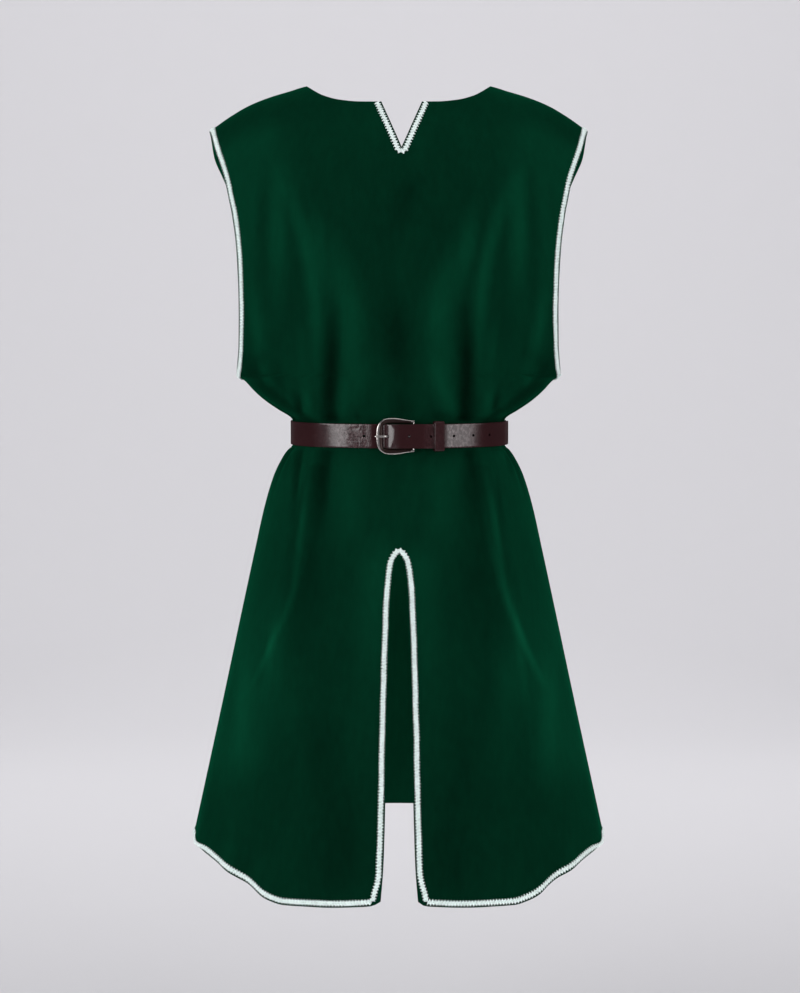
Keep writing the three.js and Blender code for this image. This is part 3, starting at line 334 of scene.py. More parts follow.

# Finer creases, each placed by itself: it runs from start to end, is deepest at the peak share
# of its run, and bows sideways in the middle
# The last column, as for the folds, is painted light on the pile at the crest where positive, and
# painted shade in the valley where negative.
CREASE_COLUMNS = "start end at away bow depth width peak nap"
CREASES = {
    "front": table(
        CREASE_COLUMNS,
        # Shoulder to waist
        (-70, -325, -153, -147, -4, 1.3, 16, 0.42, 0.08),
        (-70, -325, 153, 148, 4, 1.3, 17, 0.42, 0.11),
        (-80, -442, -166, -117, 31, 2, 17, 0.42, 0.22),
        (-80, -442, 170, 118, -36, 1.9, 17, 0.42, 0.23),
        (-150, -446, -125, -84, 40, 2.4, 34, 0.47, 0.19),
        (-150, -446, 122, 84, -50, 2.3, 34, 0.47, 0.19),
        (-250, -441, -80, -88, 0, -1.5, 14, 0.55, -0.15),
        (-255, -441, 89, 92, 0, -1.4, 14, 0.55, -0.14),
        (-140, -305, -112, -92, 0, 0.8, 15, 0.45, 0.12),
        (-140, -305, 99, 79, 0, 0.8, 19, 0.45, 0.15),
        (-345, -425, -44, -50, 0, 0.8, 14, 0.45, 0.08),
        (-345, -425, 46, 56, 0, 0.8, 18, 0.45, 0.1),
        (-355, -410, -160, -150, 0, -0.6, 12, 0.5, -0.1),
        (-215, -378, -196, -176, 0, 2, 16, 0.65, 0.15),
        (-220, -375, 198, 174, 0, 2.1, 15, 0.66, 0.18),
        (-55, -330, -172, -173, -4, -1.6, 14, 0.42, -0.11),
        (-55, -335, 169, 173, 4, -1.6, 14, 0.42, -0.1),
        (-300, -402, -128, -120, 0, 1, 10, 0.4, 0.09),
        (-298, -404, 124, 117, 0, 1.1, 10, 0.4, 0.1),
        (-345, -402, -179, -166, 0, 1.1, 10, 0.6, 0.03),
        (-345, -402, 176, 160, 0, 1.1, 10, 0.6, 0.06),
        # Gathers over the belt
        (-110, -218, 24, -9, 0, -1.2, 26, 0.45, -0.09),
        (-235, -443, -12, 5, 0, -2.4, 32, 0.5, -0.16),
        (-390, -446, 3, 5, 0, -0.4, 24, 0.6, -0.1),
        (-372, -442, -66, -78, 0, 1.5, 22, 0.7, 0.12),
        (-374, -442, 58, 73, 0, 1.4, 21, 0.7, 0.12),
        (-388, -441, -119, -113, 0, 1.4, 9, 0.55, 0.12),
        (-386, -441, 116, 111, 0, 1.4, 9, 0.55, 0.12),
        (-393, -441, -133, -127, 0, -1.8, 8, 0.55, -0.2),
        (-390, -441, 129, 123, 0, -1.8, 8, 0.55, -0.2),
        (-404, -441, -142, -134, 0, 1.2, 6, 0.6, 0.06),
        (-408, -441, 141, 134, 0, 1.3, 6, 0.6, 0.08),
        (-410, -441, -56, -53, 0, -0.9, 6, 0.8, -0.06),
        (-412, -441, 50, 47, 0, -0.9, 6, 0.8, -0.02),
        (-418, -441, -24, -22, 0, 0.7, 7, 0.7, 0.05),
        (-420, -441, 26, 24, 0, 0.6, 7, 0.7, 0.04),
        # Gathers under the belt
        (-478, -810, -112, -206, 27, 2.3, 8, 0.78, 0.14),
        (-478, -806, 107, 201, -21.5, 2.4, 9, 0.8, 0.23),
        (-478, -690, -109, -143, 0, 1.1, 7, 0.5, 0.22),
        (-478, -690, 108, 145, 0, 1.1, 7, 0.5, 0.22),
        (-486, -600, -131, -139, 0, -0.8, 8, 0.4, -0.12),
        (-488, -610, 126, 137, 0, -0.8, 8, 0.4, -0.11),
        (-490, -600, -92, -104, 0, -0.5, 14, 0.5, -0.09),
        (-485, -600, 84, 96, 0, -0.5, 15, 0.4, -0.08),
        (-476, -545, 129, 136, 0, 3.4, 11, 0.1, 0.22),
        (-477, -528, -143, -152, 0, -1.6, 7, 0.3, -0.08),
        (-477, -524, 141, 151, 0, -1.8, 7, 0.3, -0.07),
        (-477, -640, -66, -61, 0, 1.4, 32, 0.25, 0.1),
        (-477, -650, 57, 53, 0, 1.3, 34, 0.25, 0.09),
        (-477, -545, -8, -7, 0, -1, 26, 0.2, -0.06),
        (-477, -520, -28, -31, 0, -0.7, 8, 0.3, -0.03),
        (-477, -525, 31, 33, 0, -0.7, 8, 0.3, -0.03),
        (-540, -770, -112, -121, 0, -1.5, 44, 0.4, -0.08),
        (-545, -770, 103, 112, 0, -1.6, 44, 0.4, -0.08),
        # Skirt
        (-640, -830, -152, -178, 0, 1.2, 9, 0.45, 0.1),
        (-640, -830, 144, 170, 0, 1.2, 9, 0.45, 0.09),
        (-570, -880, -24, -42, 0, 1.8, 40, 0.22, 0.17),
        (-575, -870, 22, 44, 0, 1.7, 42, 0.2, 0.13),
        (-725, -930, -198, -212, 0, 1.8, 20, 0.45, 0.12),
        (-720, -930, 192, 206, 0, 1.8, 20, 0.4, 0.15),
        (-790, -970, -96, -92, 0, -1.4, 42, 0.4, -0.07),
        (-780, -970, 86, 84, 0, -1.4, 42, 0.4, -0.08),
        (-690, -900, -150, -150, 0, 1.4, 32, 0.42, 0.1),
        (-690, -900, 146, 144, 0, 1.4, 32, 0.42, 0.12),
        (-870, -1080, -72, -78, 0, -1.6, 56, 0.7, -0.09),
        (-870, -1080, 68, 74, 0, -1.6, 56, 0.7, -0.09),
        (-940, -1075, -222, -228, 0, 1.8, 15, 0.8, 0.08),
        (-945, -1075, 226, 230, 0, 1.8, 15, 0.8, 0.06),
        (-1000, -1075, -200, -203, 0, -1.6, 12, 0.9, -0.04),
        (-1005, -1075, 210, 213, 0, -1.5, 12, 0.9, -0.04),
        (-1000, -1075, 188, 186, 0, 1.5, 13, 0.9, 0.02),
        plain=("peak", "nap"),
    ),
    "back": table(
        CREASE_COLUMNS,
        (-90, -440, -176, -50, 14, 3, 38, 0.5, 0.18),
        (-80, -440, 178, 48, -16, 3, 38, 0.52, 0.17),
        (-150, -330, -170, -160, 0, 1.5, 14, 0.5, 0.12),
        (-160, -320, 172, 158, 0, 1.6, 14, 0.45, 0.12),
        (-210, -440, -136, -98, 12, 2, 13, 0.66, 0.18),
        (-200, -440, 140, 102, -14, 2, 13, 0.6, 0.18),
        (-240, -443, 6, -2, 3, -2.8, 30, 0.62, -0.15),
        (-320, -410, -188, -158, 4, 1.9, 12, 0.4, 0.13),
        (-316, -406, 186, 156, -4, 1.9, 12, 0.42, 0.14),
        (-396, -441, -124, -119, 0, 1.5, 8, 0.6, 0.11),
        (-400, -441, 127, 121, 0, 1.5, 8, 0.6, 0.1),
        (-398, -441, -140, -134, 0, -1.7, 8, 0.6, -0.17),
        (-400, -441, 141, 135, 0, -1.7, 8, 0.6, -0.16),
        (-405, -441, -60, -58, 0, 1.1, 9, 0.8, 0.09),
        (-410, -441, 64, 61, 0, 1.1, 9, 0.8, 0.09),
        (-412, -441, 22, 21, 0, -0.9, 7, 0.7, -0.07),
        (-478, -800, -96, -184, 12, 2.4, 9.5, 0.7, 0.2),
        (-478, -790, 97, 182, -14, 2.4, 9.5, 0.72, 0.2),
        (-478, -530, -122, -131, 0, 1.3, 8, 0.3, 0.09),
        (-478, -524, 124, 131, 0, 1.3, 8, 0.3, 0.09),
        (-477, -600, -64, -74, 0, 1.4, 22, 0.3, 0.1),
        (-477, -610, 68, 76, 0, 1.3, 22, 0.3, 0.09),
        (-477, -600, -20, -24, 0, 1.3, 16, 0.3, 0.08),
        (-477, -590, 24, 28, 0, -1.2, 14, 0.3, -0.08),
        (-560, -900, 4, 8, 4, -2.4, 40, 0.5, -0.1),
        (-600, -960, -70, -88, 0, 2, 34, 0.55, 0.08),
        (-620, -980, 78, 92, 0, 2, 34, 0.55, 0.07),
        (-700, -1010, -150, -166, 0, -2.2, 30, 0.6, -0.08),
        (-720, -1010, 146, 160, 0, -2.2, 30, 0.6, -0.08),
        (-680, -1010, -206, -226, 0, 2.6, 26, 0.6, 0.09),
        (-690, -1010, 208, 230, 0, 2.6, 26, 0.6, 0.08),
        plain=("peak", "nap"),
    ),
}

# Tone of the smooth cloth's pile, with the light and shade painted on it, by level: front is its
# tone where it faces forward, lighter or darker by level; side is painted sheen where positive and
# painted shade where negative, added where it faces sideways by more than turn; inside is painted
# light on its inner face, which lies in the garment's shade.
PILE_TONE_AND_PAINTED_LIGHT = table(
    "level front turn side inside",
    (0, 0.54, 0.17, 0, 1.2),
    (-25, 0.545, 0.17, 0.02, 1.2),
    (-60, 0.585, 0.17, 0.12, 1.2),
    (-120, 0.58, 0.17, 0.12, 1.15),
    (-200, 0.565, 0.17, 0.13, 1.1),
    (-275, 0.575, 0.2, 0.06, 1),
    (-345, 0.595, 0.3, 0, 1),
    (-374, 0.61, 0.5, -0.16, 1),
    (-425, 0.59, 0.55, -0.23, 1),
    (-441, 0.59, 0.55, -0.16, 1),
    (-482, 0.605, 0.45, 0.05, 1.2),
    (-560, 0.61, 0.42, 0.04, 1.2),
    (-650, 0.585, 0.42, 0.06, 1.26),
    (-727, 0.58, 0.43, 0.13, 1.03),
    (-800, 0.59, 0.44, 0.12, 0.9),
    (-870, 0.59, 0.44, 0.13, 0.8),
    (-945, 0.555, 0.45, 0.04, 0.72),
    (-1066, 0.55, 0.45, 0.02, 0.7),
    plain=("front", "turn", "side", "inside"),
)
PILE_TURN_RUN = 0.16

# Slow unevenness of the hanging cloth: waves across and down, in waves to the metre
UNEVENNESS = table(
    "across down turn depth",
    (7.3, 2.1, 0.4, 0.35),
    (11.9, -4.3, 2.2, 0.28),
    (17.1, 6.4, 4.1, 0.2),
    (24.7, -3.2, 1.3, 0.14),
    plain=("across", "down", "turn"),
)

# Rows of the panels' grids: each span ends at a level and has so many steps
ROW_SPANS = table(
    "level steps",
    (-382, 56),
    (-441, 20),
    (-475, 6),
    (-560, 28),
    (-611, 12),
    (-930, 66),
    plain=("steps",),
)
NOTCH_ROWS = 16
YOKE_ROWS = 14
BACK_YOKE_ROWS = 30
HEM_ROWS = 28
NECK_COLUMNS = 22
SIDE_COLUMNS = 47
NECK_SHARE = {"front": 0.3, "back": 0.34}
BODY_SHARE = 0.98
SEAM_SHARES = (0.99, 0.995, 0.998, 1)
NECKLINE_STEPS = 240
# Rounds in which the top edge and the hem settle at their levels
TOP_ROUNDS = 8
HEM_ROUNDS = 5


def read(columns, key, column, places):
    """Values of a column at places, on a smooth curve that never overshoots the table's rows."""
    x, y = columns[key], columns[column]
    if x[0] > x[-1]:
        x, y = x[::-1], y[::-1]
    slope = np.diff(y) / np.diff(x)
    before, after = slope[:-1], slope[1:]
    same = before * after > 0
    mean = 2 * before * after / np.where(same, before + after, 1)
    tangent = np.concatenate([slope[:1], np.where(same, mean, 0), slope[-1:]])
    places = np.asarray(places, float)
    i = np.clip(np.searchsorted(x, places) - 1, 0, len(x) - 2)
    width = x[i + 1] - x[i]
    t = np.clip((places - x[i]) / width, 0, 1)
    t2, t3 = t * t, t * t * t
    return (
        (2 * t3 - 3 * t2 + 1) * y[i]
        + (t3 - 2 * t2 + t) * width * tangent[i]
        + (3 * t2 - 2 * t3) * y[i + 1]
        + (t3 - t2) * width * tangent[i + 1]
    )


def smooth(t):
    """Soft step from 0 to 1 as t goes from 0 to 1."""
    t = np.clip(t, 0, 1)
    return t * t * (3 - 2 * t)


def mix(a, b, t):
    return a + (b - a) * t


def signed_power(values, power):
    """Values raised to a power, each with its own sign."""
    return np.sign(values) * np.abs(values) ** power


def unit(vectors):
    """The same directions with length 1."""
    length = np.linalg.norm(vectors, axis=-1, keepdims=True)
    return vectors / np.maximum(length, 1e-12)


def distances(line):
    """How far along a line each of its points is."""
    return np.concatenate([[0], np.cumsum(np.linalg.norm(np.diff(line, axis=0), axis=1))])


# The sheet of cloth, as one smooth surface


def section(level, column):
    return read(SECTIONS, "level", column, level)


def ridge(across):
    return read(SHOULDER_RIDGE, "across", "height", np.abs(across))


def across_at(angle, level):
    """Signed place across the body for an angle from the centre, 90 degrees at the side seam."""
    share = np.abs(np.sin(angle)) ** (2 / section(level, "square"))
    return np.sign(angle) * section(level, "side") * share


def angle_at(across, level):
    share = np.clip(np.abs(across) / section(level, "side"), 0, 1)
    return np.sign(across) * np.arcsin(share ** (section(level, "square") / 2))


def height_of(level, across):
    """Height of a place. Above the chest a level is its height under square shoulders."""
    raised = CHEST_LEVEL + (level - CHEST_LEVEL) * (ridge(across) - CHEST_LEVEL) / -CHEST_LEVEL
    return np.where(level > CHEST_LEVEL, raised, level)


def level_of(height, across):
    return CHEST_LEVEL - (height - CHEST_LEVEL) * CHEST_LEVEL / (ridge(across) - CHEST_LEVEL)


def level_of_turn(turn):
    return CHEST_LEVEL * (1 - np.cos(turn))


def turn_of_level(level):
    return np.arccos(np.clip(1 - level / CHEST_LEVEL, -1, 1))


def fold_depth(facing, point, angle, level):
    """How far the main folds and the finer creases move the cloth outwards, and the painted light
    and shade they put on its pile."""
    degrees = np.degrees(np.abs(angle))
    steep = smooth((degrees - SIDE_FOLDS_FROM) / SIDE_FOLDS_RUN)
    depth, nap = np.zeros_like(level), np.zeros_like(level)
    for kind in (facing, "side"):
        for fold in rows_of(FOLDS[kind]):
            t = (level - fold.start) / (fold.end - fold.start)
            before = -t * abs(fold.end - fold.start)
            strength = np.where(t < 0, 1 - smooth(before / FOLD_START), 1 - smooth(t))
            lean = np.where((angle < 0) & (kind != "side"), fold.lean, 1)
            middle = mix(fold.at, fold.away, np.clip(t, 0, 1)) * lean
            place = point[..., 1] if kind == "side" else np.abs(point[..., 0])
            distance = np.clip(np.abs(place - middle) / fold.width, 0, 1)
            share = steep if kind == "side" else 1 - SIDE_FOLDS_SHARE * steep
            shape = lean * share * strength * (1 + np.cos(np.pi * distance)) / 2
            depth += fold.depth * shape
            nap += fold.nap * shape
    fine = np.zeros_like(level)
    fading = 1 - smooth((degrees - CREASES_TO) / CREASES_RUN)
    for crease in rows_of(CREASES[facing]):
        t = np.clip((level - crease.start) / (crease.end - crease.start), 0, 1)
        strength = smooth(t / crease.peak) * (1 - smooth((t - crease.peak) / (1 - crease.peak)))
        middle = mix(crease.at, crease.away, t) + 4 * crease.bow * t * (1 - t)
        distance = np.clip(np.abs(point[..., 0] - middle) / crease.width, 0, 1)
        shape = fading * strength * (1 + np.cos(np.pi * distance)) / 2
        fine += crease.depth * shape
        nap += crease.nap * shape
    for wave in rows_of(UNEVENNESS):
        turns = wave.across * point[..., 0] + wave.down * level
        fine += wave.depth * (1 - steep) * np.sin(2 * np.pi * turns + wave.turn)
    depth += fine * smooth(-level / CREASES_FROM_SHOULDER)
    outside = np.maximum(level - BELT_TOP, BELT_BOTTOM - level)
    pressed = 1 - smooth(outside / PRESS_FADE)
    return mix(depth, np.minimum(0, depth * FOLD_PRESS_UNDER_BELT), pressed), nap


def cloth_point(facing, angle, level):
    """Places on the outer face of the sheet, and the pile's tone with its painted light and shade
    there.
    """
    across = across_at(angle, level)
    square = section(level, "square")
    depth = section(level, facing)
    side = section(level, "side")
    cosine = np.abs(np.cos(angle)) ** (2 / square)
    turned = np.where(level > CHEST_LEVEL, np.sin(turn_of_level(level)), 1)
    sign = -1 if facing == "front" else 1
    point = np.stack([across, sign * depth * cosine * turned, height_of(level, across)], -1)
    outward_x = np.sign(across) * (np.abs(across) / side) ** (square - 1) / side
    outward_y = sign * np.maximum(cosine, 1e-6) ** (square - 1) / depth
    outward = unit(np.stack([outward_x, outward_y, np.zeros_like(across)], -1))
    relief, nap = fold_depth(facing, point, angle, level)
    turn = read(PILE_TONE_AND_PAINTED_LIGHT, "level", "turn", level)
    # Painted sheen, and painted shade near the waist, where the cloth faces sideways
    sideways = smooth((np.abs(outward[..., 0]) - turn) / PILE_TURN_RUN)
    nap += read(PILE_TONE_AND_PAINTED_LIGHT, "level", "front", level) + sideways * read(PILE_TONE_AND_PAINTED_LIGHT, "level", "side", level)
    return point + outward * relief[..., None], nap


def centre_edge(facing, hand, level):
    """Across place of the edge nearest the centre: the notch, the uncut centre, or the slit."""
    if facing == "back":
        return np.zeros_like(level)
    apex = level_of(NOTCH_APEX_HEIGHT, 0)
    top = level_of(NOTCH_TOP_HEIGHT, 0)
    notch = NOTCH_CENTRE + hand * NOTCH_HALF_WIDTH * (level - apex) / (top - apex)
    half = read(SLIT_OPENING, "below", "half", SLIT_APEX_LEVEL - level)
    middle = mix(NOTCH_CENTRE, SLIT_CENTRE, (apex - level) / (apex - SLIT_APEX_LEVEL))
    closed = np.where(level < SLIT_APEX_LEVEL, SLIT_CENTRE + hand * half, middle)
    return np.where(level > apex, notch, closed)


def side_edge_angle(facing, level):
    edge = angle_at(read(ARMHOLE_EDGES, "level", facing, level), level)
    return np.where(level <= ARMHOLE_END_LEVEL, np.pi / 2, edge)


def angle_of_share(facing, hand, share, level):
    inner = angle_at(centre_edge(facing, hand, level), level)
    return mix(inner, hand * side_edge_angle(facing, level), share)


def top_level(facing, hand, share):
    """Level of the top edge: the neckline inside the neck points, and the ridge outside them."""
    start = level_of(NOTCH_TOP_HEIGHT, 0) if facing == "front" else -BACK_NECK_DROP
    level = np.full_like(share, start)
    for _ in range(TOP_ROUNDS):
        across = np.abs(across_at(angle_of_share(facing, hand, share, level), level))
        if facing == "front":
            height = read(FRONT_NECKLINE, "across", "height", across)
        else:
            round_part = np.maximum(0, 1 - (across / NECK_HALF_WIDTH) ** BACK_NECK_ROUNDNESS)
            height = -BACK_NECK_DROP * round_part ** (1 / BACK_NECK_ROUNDNESS)
        level = np.where(across >= NECK_HALF_WIDTH - 1e-9, 0, level_of(height, across))
    return np.minimum(0, level)


def hem_level(facing, hand, share):
    level = np.full_like(share, HEMS[facing]["height"][0])
    for _ in range(HEM_ROUNDS):
        across = np.abs(across_at(angle_of_share(facing, hand, share, level), level))
        level = read(HEMS[facing], "across", "height", across)
    return level


def column_shares(facing, hand):
    """Shares of the way from the centre edge to the side edge, in the body and at the top edge.
    The columns inside the neck end evenly along the neckline."""
    level = np.zeros(1)
    inner = angle_at(centre_edge(facing, hand, level), level)
    outer = hand * side_edge_angle(facing, level)
    neck = ((angle_at(np.array([hand * NECK_HALF_WIDTH]), level) - inner) / (outer - inner))[0]
    line_share = np.linspace(0, neck, NECKLINE_STEPS)
    level = top_level(facing, hand, line_share)
    line, _ = cloth_point(facing, angle_of_share(facing, hand, line_share, level), level)
    along = distances(line)
    inside = np.linspace(0, NECK_SHARE[facing], NECK_COLUMNS + 1)
    top_inside = np.interp(np.linspace(0, along[-1], NECK_COLUMNS + 1), along, line_share)
    outside = np.linspace(NECK_SHARE[facing], BODY_SHARE, SIDE_COLUMNS + 1)[1:]
    outside = np.concatenate([outside, SEAM_SHARES])
    top_outside = mix(neck, 1, (outside - NECK_SHARE[facing]) / (1 - NECK_SHARE[facing]))
    return np.concatenate([inside, outside]), np.concatenate([top_inside, top_outside])


def grid_places(facing, hand, body_levels):
    """Levels of one half of a panel's grid, the shares of the way out at each, and the number of
    rows above the body."""
    body, top = column_shares(facing, hand)
    top_turn = turn_of_level(top_level(facing, hand, top))
    yoke_turn = turn_of_level(YOKE_LEVEL)
    if facing == "front":
        apex_turn = turn_of_level(level_of(NOTCH_APEX_HEIGHT, 0))
        notch = (apex_turn - top_turn[0]) / (yoke_turn - top_turn[0])
        below = np.linspace(notch, 1, YOKE_ROWS + 1)[1:]
        parts = np.concatenate([np.linspace(0, notch, NOTCH_ROWS + 1), below])
    else:
        parts = np.linspace(0, 1, BACK_YOKE_ROWS + 1)
    yoke = level_of_turn(mix(top_turn, yoke_turn, parts[:, None]))
    middle = np.repeat(body_levels[:, None], len(body), 1)
    hem_parts = np.linspace(0, 1, HEM_ROWS + 1)[1:, None]
    hem = mix(HEM_BLEND_LEVEL, hem_level(facing, hand, body), hem_parts)
    below_yoke = np.repeat(body[None], len(middle) + len(hem), 0)
    share = np.concatenate([mix(top, body, parts[:, None]), below_yoke])
    return np.concatenate([yoke, middle, hem]), share, len(parts)


Panel = namedtuple("Panel", "facing points normals nap quads ids notch_row slit_row corner_row")


@lru_cache
def panel(facing):
    """One panel of cloth as a grid of outer points. Rows run down and columns run from the
    centre out. The two halves share the centre line where the cloth isn't cut open."""
    levels = [np.array([YOKE_LEVEL])]
    for span in rows_of(ROW_SPANS):
        levels.append(np.linspace(levels[-1][-1], span.level, int(span.steps) + 1)[1:])
    body_levels = np.concatenate(levels)[1:]
    grids, pile_tones_and_painted_lights, heights = [], [], []
    for hand in HANDS:
        level, share, yoke_rows = grid_places(facing, hand, body_levels)
        grid, nap = cloth_point(facing, angle_of_share(facing, hand, share, level), level)
        grids.append(grid.reshape(-1, 3))
        pile_tones_and_painted_lights.append(nap.ravel())
        heights.append(level.ravel())
    rows, columns = level.shape
    notch_row = NOTCH_ROWS if facing == "front" else -1
    slit_row, corner_row = (
        yoke_rows + int(np.argmin(np.abs(body_levels - mark)))
        for mark in (SLIT_APEX_LEVEL, ARMHOLE_END_LEVEL)
    )
    right = np.arange(rows * columns).reshape(rows, columns)
    left = right + rows * columns
    row = np.arange(rows)
    cut_open = (facing == "front") & ((row < notch_row) | (row > slit_row))
    left[~cut_open, 0] = right[~cut_open, 0]
    points, nap, level = (np.concatenate(halves) for halves in (grids, pile_tones_and_painted_lights, heights))
    points[:, 2] += LIFT
    quads = []
    for hand, ids in ((1, right), (-1, left)):
        a, b, c, d = ids[:-1, :-1], ids[:-1, 1:], ids[1:, 1:], ids[1:, :-1]
        outward = hand if facing == "front" else -hand
        corners = (a, d, c, b) if outward > 0 else (a, b, c, d)
        quads.append(np.stack([corner.ravel() for corner in corners], 1))
    quads = np.concatenate(quads)
    used, quads = np.unique(quads, return_inverse=True)
    quads = quads.reshape(-1, 4)
    points = keep_seam_gap(facing, points[used])
    ids = {1: np.searchsorted(used, right), -1: np.searchsorted(used, left)}
    dip = SEAM_DIP * (1 - smooth(np.abs(points[:, 1:2]) / SEAM_REACH))
    points = keep_seam_gap(facing, points - point_normals(points, quads) * dip)
    normals = point_normals(points, quads)
    # The outer face, then the inner face with its painted light
    nap = np.concatenate([nap[used], read(PILE_TONE_AND_PAINTED_LIGHT, "level", "inside", level[used])])
    return Panel(facing, points, normals, nap, quads, ids, notch_row, slit_row, corner_row)


def keep_seam_gap(facing, points):
    """Keeps a panel on its own side of the seams."""
    side = -1 if facing == "front" else 1
    points = points.copy()
    points[:, 1] = side * np.maximum(points[:, 1] * side, SEAM_GAP / 2)
    return points


def point_normals(points, quads):
    corners = points[quads]
    face = np.cross(corners[:, 2] - corners[:, 0], corners[:, 3] - corners[:, 1])
    normals = np.zeros_like(points)
    for corner in range(4):
        np.add.at(normals, quads[:, corner], face)
    return unit(normals)


def seam_tape(hand, wall):
    """Narrow tape inside a side seam, from the armhole to the hem, that keeps the seam closed."""
    starts, turned = [], []
    spans = {"front": slice(-TAPE_COLUMNS, None), "back": slice(-2, -TAPE_COLUMNS - 1, -1)}
    for facing, columns in spans.items():
        cloth = panel(facing)
        ids = cloth.ids[hand][cloth.corner_row :, columns]
        starts.append(cloth.points[ids])
        turned.append(cloth.normals[ids])
    inward = -np.concatenate(turned, 1)
    outer = np.concatenate(starts, 1) + inward * (wall + TAPE_GAP)
    inner = outer + inward * TAPE_WALL
    ids = np.arange(outer.size // 3).reshape(outer.shape[:2])
    corners = (ids[:-1, :-1], ids[1:, :-1], ids[1:, 1:], ids[:-1, 1:])
    quads = np.stack([corner.ravel() for corner in corners[::hand]], 1)
    return closed_wall(outer.reshape(-1, 3), inner.reshape(-1, 3), quads)


def shell(cloth, wall):
    """A panel of cloth as a closed thin wall."""
    inner = keep_seam_gap(cloth.facing, cloth.points - cloth.normals * wall)
    return closed_wall(cloth.points, inner, cloth.quads)


def closed_wall(points, inner, quads):
    """The outer faces, the same faces moved in, and the rims between them."""
    count = len(points)
    edges = np.concatenate([quads[:, [i, (i + 1) % 4]] for i in range(4)])
    code = edges[:, 0] * count + edges[:, 1]
    reverse = edges[:, 1] * count + edges[:, 0]
    rim = edges[~np.isin(code, reverse)]
    rims = np.stack([rim[:, 1], rim[:, 0], rim[:, 0] + count, rim[:, 1] + count], 1)
    faces = np.concatenate([quads, quads[:, ::-1] + count, rims])
    return np.concatenate([points, inner]), faces


def smooth_mesh(name, points, faces, finish):
    """A mesh with smooth faces and one material."""
    mesh = bpy.data.meshes.new(name)
    mesh.from_pydata(points, [], faces)
    mesh.polygons.foreach_set("use_smooth", [True] * len(mesh.polygons))
    mesh.materials.append(finish)
    return mesh


def add_object(name, data):
    """A new object in the scene."""
    new = bpy.data.objects.new(name, data)
    bpy.context.scene.collection.objects.link(new)
    return new


def make_piece(name, points, faces, finish, slot, *nodes, sharp, **attributes):
    """An object that stands for the named solids of the frame, with values at its points."""
    faces = faces if isinstance(faces, list) else faces.tolist()
    mesh = smooth_mesh(name, points.tolist(), faces, finish)
    mesh.set_sharp_from_angle(angle=math.radians(sharp))
    for attribute, values in attributes.items():
        mesh.attributes.new(attribute, "FLOAT", "POINT").data.foreach_set("value", values)
    piece = add_object(name, mesh)
    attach(piece, BODY)
    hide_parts(*nodes)
    return piece


# Shader maths


class Value:
    """A socket of a shader that takes part in sums: each operator adds its Math node."""

    def __init__(self, finish, socket):
        self.finish = finish
        self.socket = socket

    def math(self, operation, *values):
        node = self.finish.add("Math", {"operation": operation}, dict(enumerate(values)))
        return Value(self.finish, node.outputs[0])

    def __add__(self, other):
        return self.math("ADD", self, other)

    def __radd__(self, other):
        return self.math("ADD", other, self)

    def __sub__(self, other):
        return self.math("SUBTRACT", self, other)

    def __rsub__(self, other):
        return self.math("SUBTRACT", other, self)

    def __mul__(self, other):
        return self.math("MULTIPLY", self, other)

    def __rmul__(self, other):
        return self.math("MULTIPLY", other, self)

    def __pow__(self, other):
        return self.math("POWER", self, other)


class Finish:
    """A material of one Principled shader, with the nodes that vary it."""

    def __init__(self, name):
        self.material = bpy.data.materials.new(name)
        self.material.use_nodes = True
        self.tree = self.material.node_tree
        self.tree.nodes.clear()
        self.shader = self.add("BsdfPrincipled")
        output = self.add("OutputMaterial")
        self.tree.links.new(self.shader.outputs[0], output.inputs["Surface"])
        self.place = self.add("TexCoord").outputs["Object"]

    def add(self, kind, settings=(), sockets=()):
        """A node with its settings, then the values or links of its sockets."""
        node = self.tree.nodes.new("ShaderNode" + kind)
        for name, value in dict(settings).items():
            setattr(node, name, value)
        for name, value in dict(sockets).items():
            self.feed(node.inputs[name], value)
        return node

    def feed(self, socket, value):
        if isinstance(value, Value):
            value = value.socket
        if isinstance(value, bpy.types.NodeSocket):
            self.tree.links.new(value, socket)
        else:
            socket.default_value = value

    def scaled(self, place, scales):
        node = self.add("VectorMath", {"operation": "MULTIPLY"}, {0: place, 1: scales})
        return node.outputs[0]

    def noise(self, scale, detail=2, roughness=0.5, place=None):
        sockets = {
            "Vector": place or self.place,
            "Scale": scale,
            "Detail": detail,
            "Roughness": roughness,
        }
        return Value(self, self.add("TexNoise", {}, sockets).outputs[0])

    def cells(self, scale):
        node = self.add("TexVoronoi", {}, {"Vector": self.place, "Scale": scale})
        return Value(self, node.outputs["Distance"])

    def attribute(self, name):
        node = self.add("Attribute", {"attribute_name": name})
        return Value(self, node.outputs["Fac"])

    def between(self, value, low, high):
        """0 where a value is at low, 1 where it is at high, soft between."""
        settings = {"interpolation_type": "SMOOTHSTEP"}
        sockets = {"Value": value, "From Min": low, "From Max": high}
        return Value(self, self.add("MapRange", settings, sockets).outputs[0])

    def blend(self, factor, first, second):
        """Colour between two colours."""
        settings = {"data_type": "RGBA"}
        return self.add("Mix", settings, {0: factor, 6: first, 7: second}).outputs[2]

    def bump(self, height, distance):
        sockets = {"Height": height, "Distance": distance, "Strength": 1}
        self.feed(self.shader.inputs["Normal"], self.add("Bump", {}, sockets).outputs[0])

    def set(self, **sockets):
        for name, value in sockets.items():
            self.feed(self.shader.inputs[name.replace("_", " ")], value)


def shade(colour, amount=1):
    """A colour, as it is or made lighter or darker, as four numbers for a socket."""
    return tuple(min(1, channel * amount) for channel in colour[:3]) + (1,)


